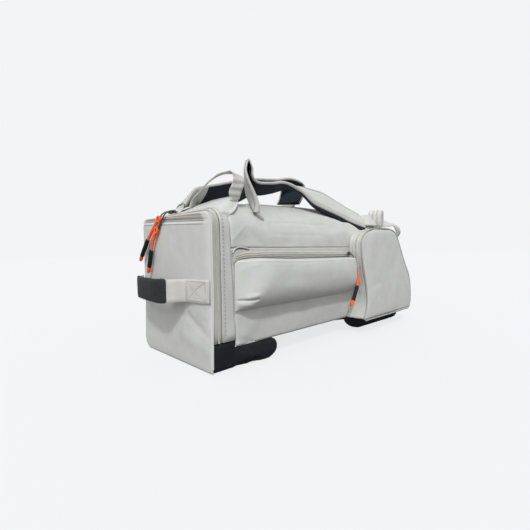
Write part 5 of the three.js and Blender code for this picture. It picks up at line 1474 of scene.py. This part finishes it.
def add_lock():
    axis = unit(np.array(LOCK_AXIS))
    up = unit(LOCK_LEAN - axis * np.dot(LOCK_LEAN, axis))
    axes = (axis, np.cross(axis, up), up)
    layers = [rounded_bar(LOCK_AT + axis * shift, axes, size, LOCK_EDGE, LOCK_SIDES, LOCK_ROUND)
              for *size, shift in LOCK_LAYERS]
    piece("near_strap_lock_frame", joined(layers), "plastic", "near_strap_lock")


# Sliders and pulls
SLIDER_LONG, SLIDER_WIDE, SLIDER_THICK = 15.0, 10.0, 4.4
PLATE_SIZE, PLATE_EDGE = (SLIDER_LONG, SLIDER_WIDE, SLIDER_THICK * 0.55), 3.0
LOW_PLATE_SIZE, LOW_PLATE_EDGE, LOW_PLATE_DOWN, LOW_PLATE_ALONG = (9.0, SLIDER_WIDE * 0.8, 3.4), 2.0, 1.0, 2.2
BRIDGE_REACH, BRIDGE_FOOT, BRIDGE_RISE, BRIDGE_RADIUS = 5.2, 1.0, 2.6, 1.2
WIRE_FROM, WIRE_RADIUS, WIRE_SPREAD, WIRE_START = 3.2, 1.5, 2.0, 0.15
# Axes of a slider run along the zip, across it and out of it
END_SLIDER_AXES, POCKET_SLIDER_AXES = ((0, 1, 0), (-1, 0, 0), (0, 0, 1)), ((1, 0, 0), (0, 0, 1), (0, -1, 0))
END_SLIDERS = (
    ("end_a", 7.25, ((5, 176, 336), (-4, 178, 331), (-9, 180, 323), (-13.5, 180.7, 318.1))),
    ("end_b", 7.1, ((5, 161, 336), (-4, 165, 330), (-9.5, 180, 308), (-11, 190, 295), (-13.9, 193.8, 292.4))),
)
POCKET_PULLER = ((474, -22, 224), (476, -25, 208), (477, -27, 192))
STEM_RADIUS, STEM_SPREAD, STEM_CLOSING, CORD_SIDES = 2.5, 1.9, 0.8, 10
RING_RADIUS, RING_WIRE, RING_SIDES = 6.2, 2.7, 12
KNOT_FROM, KNOT_TO, KNOT_TURN, KNOT_WIDE, KNOT_DEEP, KNOT_CORD = 0.8, 7.6, 3.4 * np.pi, 3.0, 2.6, 2.3
SLEEVE_RADIUS, SLEEVE_CLEAR, SLEEVE_PINCH, SLEEVE_SIDES = 5.2, 0.6, (0.22, 0.1, 0.05), 16
SLEEVE_RIB, SLEEVE_RIBS, SLEEVE_RIB_REACH = 0.22, 60, 0.3
TIP_RADIUS, TIP_CLEAR, TIP_SHORT, TIP_NARROW, TIP_SWELL, TIP_SIDES = 4.5, 0.4, 1.2, 0.8, 0.25, 14
TIP_POWER = 0.6
# A pull has a cord of three points, the ends of its sleeve and of its tip, and the way that its ring faces
PULLS = (
    ("end_a", ((-13.5, 184.6, 315), (-13.7, 208, 298), (-14, 236.6, 274.4)), (-14, 273.9, 234.9),
     (-13.2, 284.9, 223.6), (1.0, 0, 0)),
    ("end_b", ((-14, 196, 289), (-14.4, 207, 272), (-14.8, 218.9, 248.9)), (-14.8, 232.7, 208.4), (-14.4, 240, 195),
     (1.0, 0, 0)),
    ("pocket", ((477, -28, 184), (477, -35, 164), (469, -39, 138)), (446, -39.5, 101), (437, -38, 87), (0.5, 1.0, 0)),
)


def slider(name, place, axes, puller):
    """A zip slider: two plates, a bridge, and a wire to its pull."""
    along, _, up = axes = np.array(axes, float)
    angle = np.linspace(0, np.pi, 18)[:, None]
    arch = place + along * (BRIDGE_REACH * np.cos(angle)) + up * (BRIDGE_FOOT + BRIDGE_RISE * np.sin(angle))
    line = smooth_line([place + up * WIRE_FROM, *puller])(np.linspace(0, len(puller), 40))
    spread = carried(line)[0] * (WIRE_SPREAD * np.sin(np.linspace(WIRE_START, np.pi, 40)) ** 0.5)[:, None]
    parts = [
        rounded_bar(place, axes, PLATE_SIZE, PLATE_EDGE),
        rounded_bar(place - up * LOW_PLATE_DOWN + along * LOW_PLATE_ALONG, axes, LOW_PLATE_SIZE, LOW_PLATE_EDGE),
        tube(arch, BRIDGE_RADIUS),
        tube(line - spread, WIRE_RADIUS),
        tube(line + spread, WIRE_RADIUS),
    ]
    piece(f"slider_{name}_metal", joined(parts), "metal", f"slider_{name}")


def pull(name, cord, sleeve, tip, facing):
    """A zip pull: a knotted loop of cord whose ring faces one way, held in a sleeve with the ends showing."""
    cord, sleeve, tip = (np.array(places, float) for places in (cord, sleeve, tip))
    ahead = unit(cord[1] - cord[0])
    flat = unit(np.cross(ahead, facing))
    angle = np.linspace(0, 2 * np.pi, 36)
    round_eye = np.outer(np.cos(angle), ahead) + np.outer(np.sin(angle), flat)
    ring = cord[0] - ahead * SLEEVE_RADIUS + round_eye * RING_RADIUS
    wind = np.linspace(0, KNOT_TURN, 60)
    knot = (cord[0] + np.outer(np.linspace(KNOT_FROM, KNOT_TO, 60), ahead) + np.outer(np.cos(wind), flat) * KNOT_WIDE
            + np.outer(np.sin(wind), np.cross(ahead, flat)) * KNOT_DEEP)
    stem = smooth_line(cord)(np.linspace(0, 2, 40))
    spread = flat * (STEM_SPREAD * np.linspace(1, STEM_CLOSING, 40))[:, None]
    parts = [tube(ring, RING_WIRE, RING_SIDES), tube(knot, KNOT_CORD, CORD_SIDES)]
    parts += [tube(stem + hand * spread, STEM_RADIUS, CORD_SIDES) for hand in (-1, 1)]
    piece(f"pull_{name}_braid", joined(parts), "orange", f"pull_{name}_cord")

    t = np.linspace(0, 1, 40)
    line = mix(cord[-1] + unit(sleeve - cord[-1]) * SLEEVE_CLEAR, sleeve, t[:, None])
    ribs = SLEEVE_RIB * np.sin(t * SLEEVE_RIBS) * np.exp(-((t - 0.5) / SLEEVE_RIB_REACH) ** 2)
    radius = SLEEVE_RADIUS * pinched(t, *SLEEVE_PINCH) + ribs
    piece(f"pull_{name}_grip", tube(line, radius, SLEEVE_SIDES), "sleeve", f"pull_{name}_sleeve")

    end = unit(tip - sleeve)
    t = np.linspace(0, 1, 24)
    line = mix(sleeve + end * TIP_CLEAR, tip - end * TIP_SHORT, t[:, None])
    radius = TIP_RADIUS * (TIP_NARROW + TIP_SWELL * np.sin(np.pi * t) ** TIP_POWER)
    piece(f"pull_{name}_end", tube(line, radius, TIP_SIDES), "orange", f"pull_{name}_tip")


def add_pulls():
    over = 2 * ZIP_COIL_RADIUS + 2 * GAP + SLIDER_THICK / 2
    for name, step, puller in END_SLIDERS:
        depth = ZIP_TAPE_RECESS - over + zip_lean(step, ZIP_COIL_SHARE)
        slider(name, on_body(ZIP_COIL_X, step, GUSSET_FOOT_Z, depth), END_SLIDER_AXES, puller)
    y = float(pocket_seat(LENGTH / 2, POCKET_ZIP_Z)) - ZIP_TAPE_WALL - over - GAP
    place = np.array((POCKET_ZIP_RIGHT - SLIDER_LONG, y, POCKET_ZIP_Z))
    slider("pocket", place, POCKET_SLIDER_AXES, POCKET_PULLER)
    for row in PULLS:
        pull(*row)


add_body()
add_right_end()
add_zipped_end()
add_feet()
add_front_pocket()
add_boot_pocket()
add_end_handle()
add_haul_loop()
add_yoke()
add_straps()
add_lock()
add_pulls()

bpy.context.view_layer.update()
